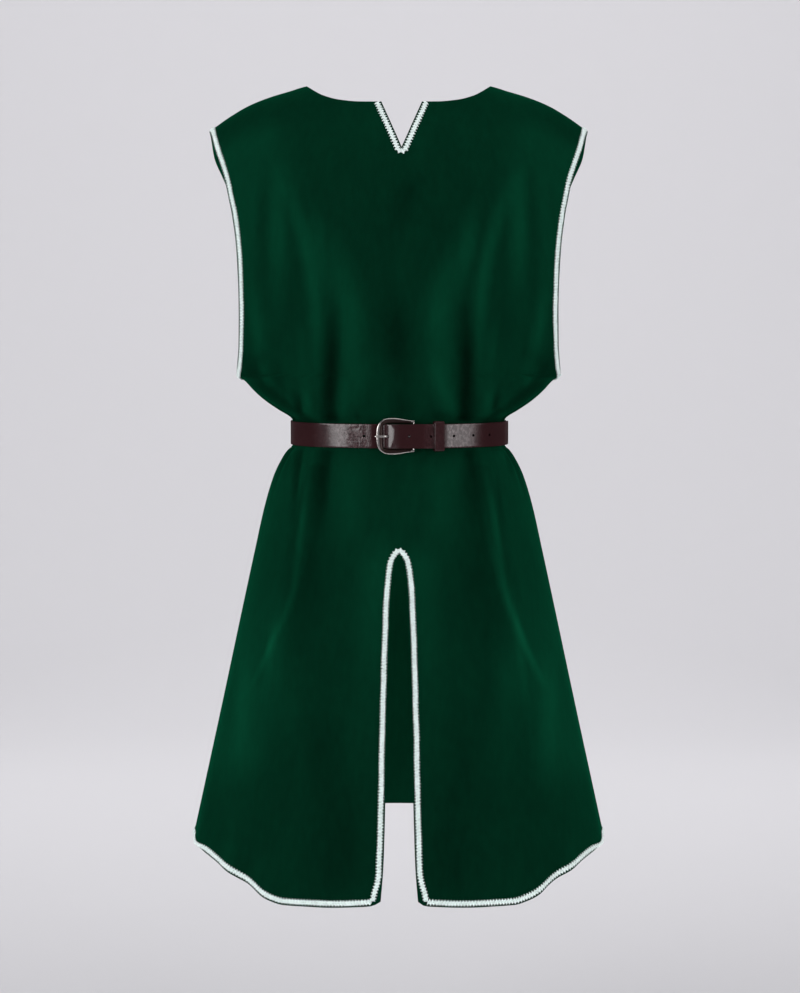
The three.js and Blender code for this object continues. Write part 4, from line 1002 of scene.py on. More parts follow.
def velvet_finish(settings):
    """Short pile: painted shade makes it dark in the valleys of its folds, and painted light makes
    it lighter and greener on their crests.
    """
    finish = Finish("velvet")
    hanging = finish.scaled(finish.place, (1, 1, 0.35))
    brushed = finish.noise(9, detail=3, place=hanging) - 0.5
    streaks = finish.noise(42, detail=3, place=hanging) - 0.5
    pile = finish.noise(1500)
    rows = finish.noise(620)
    threads = finish.noise(150, detail=4, place=hanging) - 0.5
    nap = finish.attribute("nap") + brushed * 0.1 + streaks * 0.09 + threads * 0.13
    # Share between the colour in painted shade and the colour in painted light, with random tone
    shade_to_light_share = (nap.math("MAXIMUM", nap, 0.2) * 0.8) ** 2.2
    finish.set(
        Base_Color=finish.blend(shade_to_light_share, shade(settings.flat_pile), shade(settings.full_pile)),
        Roughness=0.78 + (pile - 0.5) * 0.2,
        Specular_IOR_Level=0,
        Sheen_Weight=settings.sheen,
        Sheen_Roughness=0.5,
        Sheen_Tint=shade(settings.sheen_colour),
    )
    finish.bump(pile * 0.6 + rows * 0.4, settings.pile)
    return finish.material


def braid_finish(settings):
    """Silky gimp: twisted threads along each strand, with painted shade between the strands and in
    the twist's grooves.
    """
    finish = Finish("braid")
    strand_map = finish.add("UVMap", {"uv_map": "strand"}).outputs[0]
    strand = finish.add("SeparateXYZ", {}, {0: strand_map})
    twist = Value(finish, strand.outputs["X"]) * 2 + Value(finish, strand.outputs["Y"]) * 1100
    ridges = twist.math("SINE", twist * 2 * math.pi) * 0.5 + 0.5
    wear = finish.noise(130)
    # Painted shade from the points, lighter on the twist's ridges, with random wear
    lit = finish.attribute("lift") * (0.9 + ridges * 0.2) + (wear - 0.5) * 0.25
    finish.set(
        Base_Color=finish.blend(lit, shade(settings.crevice), shade(settings.thread, 1.35)),
        Roughness=0.46 + wear * 0.12,
        Sheen_Weight=0.4,
        Sheen_Roughness=0.4,
    )
    finish.bump(ridges, 0.12 * MM)
    return finish.material


# Where the strap's front shines: none at the start and end, all of it between rise and fall
SHINE = table(
    "start rise fall end",
    (-116, -99, -46, -30),
    (31, 36, 44, 78),
    (60, 66, 84, 118),
    (-28, -22, -7, 3),
)
# The crazing leans this way left and right of the buckle, in degrees
CRAZE_LEANS = (-46, 48)


def leather_finish(settings):
    """Waxed leather: dark burgundy, glossy, with its surface crazed where the belt has bent. The
    crazes are lighter only where the strap shines, part wear and part painted highlight.
    """
    finish = Finish("leather")
    across = Value(finish, finish.add("SeparateXYZ", {}, {0: finish.place}).outputs["X"])
    crazes = []
    for lean in CRAZE_LEANS:
        rotation = (0, math.radians(lean), 0)
        sockets = {"Vector": finish.place, "Rotation": rotation, "Scale": (1, 1, 0.6)}
        leaning = finish.add("Mapping", {}, sockets).outputs[0]
        crazes.append(finish.noise(330, detail=3, roughness=0.62, place=leaning))
    craze = crazes[0] + (crazes[1] - crazes[0]) * finish.between(across, 0, 10 * MM)
    grain = finish.cells(900)
    pores = finish.noise(2600, detail=1)
    patches = finish.noise(60)
    left, gathered, right, polished = (
        finish.between(across, zone.start, zone.rise) * finish.between(across, zone.end, zone.fall)
        for zone in rows_of(SHINE)
    )
    bent = 0.06 + left * 0.9 + right * 0.88 + gathered * 0.45
    calm = 0.4 + finish.between(across, -98 * MM, -64 * MM) * 0.6
    ridges = finish.between(craze, 0.4, 0.62) * bent * calm
    # The crazes' lighter colour is part wear and part painted highlight: it shows only in the zones
    # where the strap shines
    dark, wear_and_highlight = shade(settings.leather, 0.72), shade(settings.leather, 1.6)
    finish.set(
        Base_Color=finish.blend(ridges * 0.6 + patches * 0.15, dark, wear_and_highlight),
        Roughness=0.4 + grain * 0.1,
        Specular_IOR_Level=0,
        Coat_Weight=(bent * (0.75 + ridges * 0.4) + polished) * settings.gloss,
        Coat_Roughness=0.17,
    )
    finish.bump(ridges * 0.8 + grain * 0.06 + pores * 0.05, settings.crazing)
    return finish.material


def metal_finish(settings):
    """Polished nickel, with a painted dark reflection and shade on the faces between the rims."""
    finish = Finish("buckle_metal")
    face = finish.attribute("face")
    scratches = finish.noise(700, detail=3, place=finish.scaled(finish.place, (0.2, 1, 1)))
    # Painted dark reflection on the frame's faces, its edge broken by the scratches
    dark = finish.between(face + (scratches - 0.5) * 0.2, 0.4, 0.6)
    finish.set(
        Base_Color=finish.blend(dark, shade(settings.metal), shade(settings.patina)),
        Roughness=0.14 + scratches * 0.1 + dark * 0.12,
        Metallic=1 - dark * 0.35,
    )
    finish.bump(scratches, 0.02 * MM)
    return finish.material


# Braid


def face_directions(edge, toward, surface):
    """Directions along the cloth, square to an edge and away from it."""
    along = unit(np.gradient(edge, axis=0))
    normals = np.array([surface.find_nearest(point)[1] for point in edge.tolist()])
    inward = unit(np.cross(normals, along))
    facing = np.sum(inward * (toward - edge), axis=1, keepdims=True)
    return inward * np.sign(facing)


def edge_line(cloth, hand, rows, columns, steps, surface):
    """Edge points of a panel at rows and columns of its grid, with their directions into the
    cloth. steps is the way in over the grid."""
    ids = cloth.ids[hand]
    edge = cloth.points[ids[rows, columns]]
    toward = cloth.points[ids[rows + steps[0], columns + steps[1]]]
    return edge, face_directions(edge, toward, surface)


def joined(*lines, closed=False):
    """One line of edge points and inward directions, turned round each corner."""
    edges, inwards = [], []
    turn = np.linspace(0, 1, CORNER_STEPS + 2)[1:-1, None]
    pairs = list(zip(lines, lines[1:] + lines[:1]))
    for i, ((edge, inward), (after_edge, after_inward)) in enumerate(pairs):
        edges.append(edge)
        inwards.append(inward)
        if i < len(pairs) - 1 or closed:
            corner = (edge[-1] + after_edge[0]) / 2
            swung = corner_swing(inward[-1], after_inward[0], edge[-1] - edge[-2], turn)
            edges.append(np.repeat(corner[None], len(turn), 0))
            inwards.append(swung)
    return np.concatenate(edges), np.concatenate(inwards)


def corner_swing(first, last, ahead, turn):
    """Directions that turn from first to last, by way of ahead where the corner is sharp."""
    cosine = np.dot(first, last)
    if cosine > SHARP_CORNER:
        return unit(mix(first, last, turn))
    middle = unit(ahead)
    if cosine > REVERSED_CORNER:
        middle = unit(unit(first + last) * CORNER_CUT + middle)
    return unit(np.where(turn < 0.5, mix(first, middle, turn * 2), mix(middle, last, turn * 2 - 1)))


BraidPath = namedtuple("BraidPath", "edge inward middle along turn count step closed")


def braid_path(line, settings, closed=False, start=0, foot=0):
    """Even steps along an edge: its points, the directions in, the way in to the middle of the
    braid, which is longer by foot at the ends, the distance, and the turn of the plait."""
    edge, inward = line
    middle = settings.braid_inset + settings.braid_width / 2
    if closed:
        edge = np.concatenate([edge, edge[:1]])
        inward = np.concatenate([inward, inward[:1]])
    run = distances(edge + inward * middle)
    keep = np.concatenate([[True], np.diff(run) > 1e-7])
    run, edge, inward = run[keep], edge[keep], inward[keep]
    length = run[-1] - start
    periods = length / (STRANDS * settings.scallop)
    if closed:
        periods = round(periods)
    count = max(2, round(periods * TURN_SEGMENTS))
    steps = np.arange(count if closed else count + 1)
    along = start + length * steps / count
    turn = 2 * math.pi * periods * steps / count
    edge, inward = (
        np.stack([np.interp(along, run, values[:, i]) for i in range(3)], 1)
        for values in (edge, inward)
    )
    to_end = np.minimum(along - along[0], along[-1] - along)
    middle = middle + foot * (1 - smooth(to_end / FOOT_RUN))
    return BraidPath(edge, unit(inward), middle, along, turn, count, length / count, closed)


def strand_rings(path, surface, settings, strand, fuzz):
    """Rings of points round one strand, or round the core that comes after the strands, and the
    painted shade at each point. The teeth of the core's two sides take turns."""
    core = strand == STRANDS
    crosses = 0 if core else 1
    along = path.along
    phase = path.turn + 2 * math.pi * strand / STRANDS
    angle = 2 * math.pi * np.arange(STRAND_SIDES) / STRAND_SIDES
    # Slow unevenness, which is another one in each strand
    uneven = 0.12 * np.sin(along * 171 + strand) + 0.1 * np.sin(along * 463 + 2 * strand)
    scallop = signed_power(np.sin(phase), SCALLOP_POINT) * crosses
    swing = settings.core_width / 2 - settings.strand_width / 4
    lateral = path.middle + swing * scallop * (1 + uneven) + 0.15 * MM * np.sin(along * 97)
    height = settings.strand_rise * (1.3 + np.sin(2 * phase) * crosses * (1 + uneven))
    places = path.edge + path.inward * lateral[:, None]
    on_cloth = [surface.find_nearest(place)[:2] for place in places.tolist()]
    normal = unit(np.array([hit[1] for hit in on_cloth]))
    centre = np.array([hit[0] for hit in on_cloth]) + normal * height[:, None]
    if path.closed:
        ahead = np.roll(centre, -1, 0) - np.roll(centre, 1, 0)
    else:
        ahead = np.gradient(centre, axis=0)
    side = unit(np.cross(ahead, normal))
    up = unit(np.cross(side, ahead))
    if core:
        stagger = np.where(np.cos(angle) < 0, TOOTH_STAGGER, 0)
        teeth = np.maximum(0, np.cos(STRANDS * path.turn[:, None] + stagger))
        reach = (settings.braid_width - settings.core_width) / 2
        wide = settings.core_width / 2 * mix(1, fuzz, 0.4) + reach * teeth**TOOTH_POINT
        flatness = CORE_FLATNESS
        # Painted shade on the core between its teeth
        painted_crossing_shade = 0.72 + 0.28 * teeth
    else:
        wide = settings.strand_width / 2 * (1 + 0.6 * uneven)[:, None] * fuzz
        flatness = STRAND_FLATNESS
        # Painted shade where the strand runs under another
        painted_crossing_shade = mix(0.5, 0.95, smooth(0.65 + np.sin(2 * phase) * 0.6))[:, None]
    rings = (
        centre[:, None]
        + side[:, None] * (wide * np.cos(angle))[..., None]
        + up[:, None] * (flatness * wide * np.sin(angle))[..., None]
    )
    # Painted shade on the sides and underside of each ring, with random unevenness
    return rings, painted_crossing_shade * mix(0.3, 1, smooth(0.6 + np.sin(angle) * 0.5)) * fuzz


def plait(line, surface, settings, **options):
    """Flat braid along an edge: strands plaited over a core with toothed edges. Gives points,
    faces, the strands' own map, and the painted shade at each point."""
    path = braid_path(line, settings, **options)
    chance = np.random.default_rng(path.count)
    size = (len(path.along), STRAND_SIDES)
    points, faces, places, lifts = [], [], [], []
    for strand in range(STRANDS + 1):
        fuzz = chance.normal(1, settings.fuzz, size)
        rings, lift = strand_rings(path, surface, settings, strand, fuzz)
        ring_faces, ring_places = tube(*size, path.closed)
        first = strand * fuzz.size
        points.append(rings.reshape(-1, 3))
        faces += [[corner + first for corner in face] for face in ring_faces]
        places += ring_places
        lifts.append(lift.ravel())
    return np.concatenate(points), faces, np.array(places) * (1, path.step), np.concatenate(lifts)


def tube(rings, sides, closed):
    """Faces of a tube and their places on it: the share of the way round, and the ring."""
    faces, places = [], []
    for ring in range(rings if closed else rings - 1):
        here, after = ring * sides, (ring + 1) % rings * sides
        for side in range(sides):
            beside = (side + 1) % sides
            faces.append([here + side, here + beside, after + beside, after + side])
            u, v = side / sides, (side + 1) / sides
            places += [(u, ring), (v, ring), (v, ring + 1), (u, ring + 1)]
    if not closed:
        last = (rings - 1) * sides
        faces.append(list(range(sides))[::-1])
        faces.append([last + side for side in range(sides)])
        places += [(0.5, 0)] * sides + [(0.5, rings - 1)] * sides
    return faces, places


def outward_faces(points, faces):
    """The faces, turned over if they enclose the points inside out."""
    volume = 0
    for face in faces:
        a = points[face[0]]
        for b, c in zip(face[1:], face[2:]):
            volume += np.dot(a, np.cross(points[b], points[c]))
    return faces if volume > 0 else [face[::-1] for face in faces]


def ring_mesh(rings, closed=False):
    """Points and outward faces of a tube through rings of points."""
    faces, _ = tube(*rings.shape[:2], closed)
    points = rings.reshape(-1, 3)
    return points, outward_faces(points, faces)


# Belt


# Degrees from point to point of the waist's section
WAIST_STEP = 0.5


def belt_round():
    """Section of the waist under the belt, with the distance along it from the centre front."""
    angle = np.radians(np.arange(0, 360 + WAIST_STEP / 2, WAIST_STEP))
    power = 2 / section(BELT_MIDDLE, "square")
    front, back = section(BELT_MIDDLE, "front"), section(BELT_MIDDLE, "back")
    depth = np.where(np.cos(angle) >= 0, front, back)
    x = section(BELT_MIDDLE, "side") * signed_power(np.sin(angle), power)
    y = -depth * signed_power(np.cos(angle), power)
    along = np.concatenate([[0], np.cumsum(np.hypot(np.diff(x), np.diff(y)))])
    ahead_x = np.roll(x[:-1], -3) - np.roll(x[:-1], 3)
    ahead_y = np.roll(y[:-1], -3) - np.roll(y[:-1], 3)
    length = np.hypot(ahead_x, ahead_y)
    out = np.stack([ahead_y / length, -ahead_x / length], 1)
    return along, np.stack([x, y], 1), np.concatenate([out, out[:1]])


WAIST_ALONG, WAIST, WAIST_OUT = belt_round()
WAIST_LENGTH = WAIST_ALONG[-1]


def belt_place(along, out):
    """Level place at a distance along the waist and a distance out from the cloth."""
    along = np.mod(along, WAIST_LENGTH)
    x, y, out_x, out_y = (
        np.interp(along, WAIST_ALONG, column) for column in (*WAIST.T, *WAIST_OUT.T)
    )
    return np.stack([x + out * out_x, y + out * out_y], -1)


def belt_axes(start, end):
    """Level directions along the belt from start to end, and away from the cloth."""
    ahead = unit(end - start)
    return ahead, np.array([ahead[1], -ahead[0]])


STRAP_WIDTH = 31.4 * MM
STRAP_THICKNESS = 2 * MM
STRAP_CLEARANCE = 0.5 * MM
STRAP_BEVEL = STRAP_THICKNESS * 0.45
STRAP_RIM_TURNS = (65, 30, 0, -30, -65)
STRAP_FACE_COLUMNS = 27
STRAP_BACK_COLUMNS = 9
TIP_NARROWING = 9 * MM
OVERLAP_OUT = 3.85 * MM

BAR_ALONG = 19 * MM
BAR_DIAMETER = 2.4 * MM
BAR_OUT = 6 * MM
FRAME_LENGTH = 49.4 * MM
FRAME_HEIGHT = 47.4 * MM
TOE_BAR_WIDTH = 4 * MM
TOE_OUT = 8.4 * MM
PRONG_WIDTH = 2.8 * MM

# Where the strap leaves its fold round the bar, passes under the keeper and meets the cloth
FOLD_RADIUS = BAR_DIAMETER * math.sqrt(0.5) + 0.3 * MM + STRAP_THICKNESS / 2
FOLDED_END_ALONG = 36 * MM
UNDER_KEEPER_FROM = 40 * MM
UNDER_KEEPER_TO = 62 * MM
BACK_ON_CLOTH_ALONG = 86 * MM
OVERLAP_BEFORE = 62 * MM

# Swelling of the strap's face where it comes up over the prong
CUP_START = -12 * MM
CUP_RISE = 10 * MM
CUP_END = 34 * MM
CUP_DEPTH = 1.6 * MM

KEEPER_START = 44.4 * MM
KEEPER_END = 57.3 * MM
KEEPER_HEIGHT = 38.8 * MM
KEEPER_LEATHER = 1.2 * MM
KEEPER_OUT = 0.9 * MM
KEEPER_REACH = 13.4 * MM
KEEPER_CORNER = 2.2 * MM
# Leather across the keeper: two tooled lines, rounded edges and a crown. Places are shares of the
# width, and depths are shares of the half thickness.
TOOLED_PLACES = (0.1, 0.9)
TOOLED_REACH = 0.5 * MM
TOOLED_DEPTH = 0.28
KEEPER_EDGE = 0.35
KEEPER_ROUNDING = 0.6 * MM
KEEPER_CROWN = 0.18

# Holes through the strap, by their place along the belt and the strap's height off the cloth
STRAP_HOLES = table(
    "along out length height",
    (-44.4, 2.5, 3.5, 3.5),
    (13.3, 12.2, 3.5, 3.5),
    (40.2, 11.7, 3.5, 3.5),
    (70.8, 5.7, 3.5, 3.5),
    (98.4, 4.2, 3.5, 3.5),
    (124.5, 4.2, 3.5, 3.5),
    (-15.6, 8.8, 9, 4),
)
HOLE_SIDES = 28
STRAP_END_ALONG = 199.5 * MM

# Middle line of the strap where it overlaps, by its place beyond one full turn
STRAP_OVERLAP = table(
    "along out",
    (-52, 1.8),
    (-42, 2.7),
    (-32, 4.2),
    (-26, 4.5),
    (-18.2, 5.2),
    (-14.6, 8.6),
    (-11.2, 10.6),
    (-7.5, 11.5),
    (-3, 11.8),
    (14, 11.4),
    (36, 11.3),
    (46, 10.2),
    (57, 7.8),
    (66, 6.2),
    (78, 4.9),
    (90, 4.1),
    (104, 3.85),
)
STRAP_TIP = table(
    "before narrowed",
    (12, 0.15),
    (6, 0.5),
    (2, 0.8),
    (0, 1),
    plain=("narrowed",),
)

# Two sets of fine crinkles: how they lean, their waves to the metre along and across the strap,
# the layer of noise they are taken from, and their share of the depth
CRINKLES = (
    (-0.55, 620, 240, 3, 1.6),
    (0.55, 980, 420, 8, 0.9),
)
# How strongly the strap is crinkled along its front
CRINKLED = table(
    "along strength",
    (-150, 0.1),
    (-105, 0.12),
    (-88, 0.3),
    (-72, 0.75),
    (-40, 0.7),
    (-30, 0.45),
    (-20, 0.05),
    (24, 0.03),
    (32, 0.7),
    (44, 1),
    (50, 0.3),
    (57, 1),
    (76, 0.9),
    (88, 0.35),
    (104, 0.15),
    (150, 0.1),
    plain=("strength",),
)

# Prong from the side: its foot in front of the bar, its rise through the hole, its tip on the toe
PRONG_SIDE = table(
    "along low high",
    (-29.6, 10.5, 11.4),
    (-24, 10.4, 12),
    (-20, 10.2, 11.8),
    (-14, 8, 9.6),
    (-10, 7.6, 9.2),
    (14, 7.5, 9.4),
    (20.5, 7.5, 9.2),
)


def eased(line):
    """Soft step from 0 to 1 over a line of distances."""
    return smooth((line - line[0]) / (line[-1] - line[0]))


def strap_line():
    """Middle line of the strap from its folded end to its tip: along, out, and how much narrower
    it is on each side."""
    under = STRAP_CLEARANCE + STRAP_THICKNESS / 2
    raised = KEEPER_OUT + KEEPER_LEATHER + 2 * SEAM_GAP + STRAP_THICKNESS / 2
    step = 1 * MM

    def spread(start, end, spacing=step):
        return np.linspace(start, end, max(2, round(abs(end - start) / spacing) + 1))

    folded = spread(FOLDED_END_ALONG, BAR_ALONG)
    turn = np.linspace(0, math.pi, 15)[1:]
    rise = spread(BAR_ALONG, UNDER_KEEPER_FROM)[1:]
    level = spread(UNDER_KEEPER_FROM, UNDER_KEEPER_TO, 3 * step)[1:]
    down = spread(UNDER_KEEPER_TO, BACK_ON_CLOTH_ALONG, 1.5 * step)[1:]
    around = spread(BACK_ON_CLOTH_ALONG, WAIST_LENGTH - OVERLAP_BEFORE, 2 * step)[1:]
    overlap = spread(STRAP_OVERLAP["along"][0], STRAP_END_ALONG, 0.75 * step)
    over = np.where(
        overlap < STRAP_OVERLAP["along"][-1],
        read(STRAP_OVERLAP, "along", "out", overlap),
        OVERLAP_OUT,
    )
    parts = [
        (folded, np.full_like(folded, BAR_OUT + FOLD_RADIUS)),
        (BAR_ALONG - FOLD_RADIUS * np.sin(turn), BAR_OUT + FOLD_RADIUS * np.cos(turn)),
        (rise, mix(BAR_OUT - FOLD_RADIUS, raised, eased(rise))),
        (level, np.full_like(level, raised)),
        (down, mix(raised, under, eased(down))),
        (around, np.full_like(around, under)),
        (overlap + WAIST_LENGTH, over),
    ]
    along, out = (np.concatenate(column) for column in zip(*parts))
    before_end = WAIST_LENGTH + STRAP_END_ALONG - along
    shrink = TIP_NARROWING * read(STRAP_TIP, "before", "narrowed", before_end)
    shrink = np.where(before_end < STRAP_TIP["before"][0], shrink, shrink * 0)
    return along, out, shrink


def cupped(along, height):
    """How far the strap's face swells where it comes up over the prong."""
    if not CUP_START < along < CUP_END:
        return 0
    rise = smooth((along - CUP_START) / CUP_RISE)
    fall = 1 - smooth((along - CUP_START - CUP_RISE) / (CUP_END - CUP_START - CUP_RISE))
    return CUP_DEPTH * rise * fall * (1 - abs(2 * height / STRAP_WIDTH) ** 3)


def crinkle(along, height):
    """Depth of the fine crinkles of the strap's face, up to 1."""
    depth = 1
    for lean, waves_along, waves_across, layer, weight in CRINKLES:
        place = Vector(((along + height * lean) * waves_along, height * waves_across, layer))
        depth -= abs(noise.noise(place)) * weight
    return depth


def strap_mesh(settings):
    """The strap as a ribbon with rounded edges and a crinkled face."""
    along, out, shrink = strap_line()
    middle = belt_place(along, out)
    run = unit(np.gradient(middle, axis=0))
    outward = np.stack([run[:, 1], -run[:, 0]], 1)
    half, wall = STRAP_WIDTH / 2, STRAP_THICKNESS / 2
    flat = half - STRAP_BEVEL
    face = [(share * flat, wall) for share in np.linspace(-1, 1, STRAP_FACE_COLUMNS)]
    turns = np.radians(STRAP_RIM_TURNS)
    rim = [(flat + STRAP_BEVEL * math.cos(turn), wall * math.sin(turn)) for turn in turns]
    back = [(share * flat, -wall) for share in np.linspace(1, -1, STRAP_BACK_COLUMNS)]
    other = [(-x, y) for x, y in rim[::-1]]
    ring = face + rim + back + other
    overlapping = along > WAIST_LENGTH - OVERLAP_BEFORE
    signed = np.where(along > WAIST_LENGTH / 2, along - WAIST_LENGTH, along)
    strength = read(CRINKLED, "along", "strength", signed)
    strength = np.where(overlapping | (along > BACK_ON_CLOTH_ALONG), strength, 0)
    points = np.empty((len(along), len(ring), 3))
    # The face is crinkled and cupped, and the rims and the back are smooth
    for i in range(len(along)):
        for j, (height, offset) in enumerate(ring):
            height = height * (half - shrink[i]) / half
            if offset > 0.9 * wall and strength[i] > 0:
                offset -= settings.crinkle * strength[i] * (1 - crinkle(signed[i], height)) * 0.5
                offset += cupped(signed[i], height) if overlapping[i] else 0
            points[i, j, :2] = middle[i] + outward[i] * offset
            points[i, j, 2] = BELT_HEIGHT + height
    return ring_mesh(points)


def hole_cutter():
    """One mesh of round and long plugs that stand where the strap is pierced."""
    points, faces = [], []
    reach = 2 * STRAP_THICKNESS
    angle = 2 * math.pi * np.arange(HOLE_SIDES) / HOLE_SIDES
    for hole in rows_of(STRAP_HOLES):
        centre = belt_place(hole.along, hole.out)
        ahead, out = belt_axes(centre, belt_place(hole.along + 1 * MM, hole.out))
        wide = ahead * (hole.length / 2 * np.cos(angle))[:, None]
        rings = np.empty((2, HOLE_SIDES, 3))
        for i, offset in enumerate((-reach, reach)):
            rings[i, :, :2] = centre + out * offset + wide
            rings[i, :, 2] = BELT_HEIGHT + hole.height / 2 * np.sin(angle)
        plug, plug_faces = ring_mesh(rings)
        first = len(points) * len(plug)
        faces += [[corner + first for corner in face] for face in plug_faces]
        points.append(plug)
    return np.concatenate(points), faces


def pierce(piece):
    """Cuts the holes through the strap."""
    points, faces = hole_cutter()
    mesh = bpy.data.meshes.new("strap_holes")
    mesh.from_pydata(points.tolist(), [], faces)
    cutter = add_object("strap_holes", mesh)
    cut = piece.modifiers.new("holes", "BOOLEAN")
    cut.object = cutter
    cut.operation = "DIFFERENCE"
    cut.solver = "MANIFOLD"
    depsgraph = bpy.context.evaluated_depsgraph_get()
    pierced = bpy.data.meshes.new_from_object(piece.evaluated_get(depsgraph))
    piece.modifiers.clear()
    old = piece.data
    piece.data = pierced
    bpy.data.meshes.remove(old)
    bpy.data.objects.remove(cutter)
    bpy.data.meshes.remove(mesh)


def keeper_mesh():
    """Loop of thin leather with rounded corners and a tooled line beside each edge."""
    wall = KEEPER_LEATHER / 2
    inner, outer = KEEPER_OUT + wall, KEEPER_REACH - wall
    half = KEEPER_HEIGHT / 2 - wall
    path = []
    corners = ((outer, half), (inner, half), (inner, -half), (outer, -half))
    for i, (out, height) in enumerate(corners):
        centre_out = out - math.copysign(KEEPER_CORNER, out - (inner + outer) / 2)
        centre_height = height - math.copysign(KEEPER_CORNER, height)
        for a in np.linspace(0, 90, 7):
            turn = math.radians(90 * i + a)
            corner = KEEPER_CORNER * math.cos(turn), KEEPER_CORNER * math.sin(turn)
            path.append((centre_out + corner[0], centre_height + corner[1]))
    path = np.array(path)
    ahead = unit(np.roll(path, -1, 0) - np.roll(path, 1, 0))
    away = np.stack([ahead[:, 1], -ahead[:, 0]], 1)
    away *= np.sign(np.sum(away * (path - path.mean(0)), 1, keepdims=True))
    width = KEEPER_END - KEEPER_START
    start = belt_place(KEEPER_START, 0)
    ahead, out = belt_axes(start, belt_place(KEEPER_END, 0))
    ring = []
    for share in np.linspace(0, 1, 25):
        line = min(abs(share - place) for place in TOOLED_PLACES) * width
        tooled = TOOLED_DEPTH * max(0, 1 - line / TOOLED_REACH)
        rounding = min(share, 1 - share) * width / KEEPER_ROUNDING
        full = math.sqrt(1 - (1 - min(1, rounding)) ** 2)
        crown = KEEPER_CROWN * (1 - (2 * share - 1) ** 2)
        rise = KEEPER_EDGE + (1 - KEEPER_EDGE) * full + crown - tooled
        ring.append((share * width, wall * rise))
    ring += [(share * width, -wall) for share in np.linspace(1, 0, 7)]
    points = np.empty((len(path), len(ring), 3))
    for i, (place, direction) in enumerate(zip(path, away)):
        for j, (along, offset) in enumerate(ring):
            at = place + direction * offset
            points[i, j, :2] = start + ahead * along + out * at[0]
            points[i, j, 2] = BELT_HEIGHT + at[1]
    return ring_mesh(points, closed=True)


# Section of the buckle's frame from its outer edge to its inner edge, and where it can carry the
# painted dark reflection
FRAME_SECTION = table(
    "share height dark",
    (0.02, -1.2, 0),
    (0, -0.5, 0),
    (0.01, 0.2, 0),
    (0.06, 0.75, 0),
    (0.16, 1.1, 0),
    (0.28, 1.2, 1),
    (0.42, 1.14, 1),
    (0.6, 0.95, 1),
    (0.8, 0.6, 1),
    (0.93, 0.15, 1),
    (1, -0.5, 1),
    (0.98, -1.2, 0),
    plain=("share", "dark"),
)


# The frame's outer and inner outline
FRAME_OUTLINES = table(
    "inset toe heel narrowing round_share bend",
    (0, 0, 0, 3.2, 0.95, 0.7),
    (7.3, 7.6, 2.4, 0, 0.36, 0.4),
    plain=("round_share", "bend"),
)
# Bright rim beside the frame's face of painted dark reflection, as a share of the section: at the
# toe and on the arms
TOE_RIM = 0.46
ARM_RIM = 0.2
RIM_RUN = 12 * MM
RIM_EDGE = 0.1
BRIGHT_HEEL = 4.5 * MM
BRIGHT_HEEL_RUN = 2.5 * MM

PRONG_TIP = 1.2 * MM
PRONG_FOOT_SHARE = 0.72
PRONG_TAPER = 14 * MM
PRONG_ROUNDNESS = 0.75


def frame_outline(inset, toe_inset, heel_inset, narrowing, round_share, bend):
    """Outline of the buckle's frame in distance from the bar and height: the heel, an arm, the
    toe's squared round, and the other arm."""
    half = FRAME_HEIGHT / 2
    left = -FRAME_LENGTH + BAR_DIAMETER / 2
    right = BAR_DIAMETER / 2 - heel_inset
    high = half - inset
    toe_round = high * round_share
    turn = np.linspace(math.pi / 2, 3 * math.pi / 2, 57)
    reach = np.abs(np.cos(turn)) ** bend * toe_round
    toe_x = left + toe_inset + toe_round - reach
    toe_z = signed_power(np.sin(turn), bend) * high
    arm = np.linspace(0, 1, 19)[1:]
    arm_x = mix(left + toe_inset + toe_round, right, arm)
    arm_z = high - narrowing * smooth(arm)
    heel_z = np.linspace(-1, 1, 17)[1:-1] * arm_z[-1]
    x = np.concatenate([toe_x, arm_x, np.full_like(heel_z, right), arm_x[::-1]])
    z = np.concatenate([toe_z, -arm_z, heel_z, arm_z[::-1]])
    return np.stack([x, z], 1)


def frame_mesh():
    """The buckle's frame, with a mask for the painted dark reflection on its faces."""
    outer, inner = (frame_outline(*outline) for outline in rows_of(FRAME_OUTLINES))
    heel = belt_place(BAR_ALONG, BAR_OUT)
    toe = belt_place(BAR_ALONG - FRAME_LENGTH + TOE_BAR_WIDTH, TOE_OUT)
    ahead, out = belt_axes(toe, heel)
    points = np.empty((len(outer), len(FRAME_SECTION["share"]), 3))
    dark = np.empty(points.shape[:2])
    for j, ring in enumerate(rows_of(FRAME_SECTION)):
        flat = mix(outer, inner, ring.share)
        points[:, j, :2] = heel + ahead * flat[:, :1] + out * ring.height
        points[:, j, 2] = BELT_HEIGHT + flat[:, 1]
        from_toe = smooth((flat[:, 0] + FRAME_LENGTH - TOE_BAR_WIDTH) / RIM_RUN)
        rim = mix(TOE_RIM, ARM_RIM, from_toe)
        heel_end = smooth((flat[:, 0] + BRIGHT_HEEL) / BRIGHT_HEEL_RUN)
        dark[:, j] = ring.dark * smooth((ring.share - rim) / RIM_EDGE + 0.5) * (1 - heel_end)
    return *ring_mesh(points, closed=True), dark.ravel()


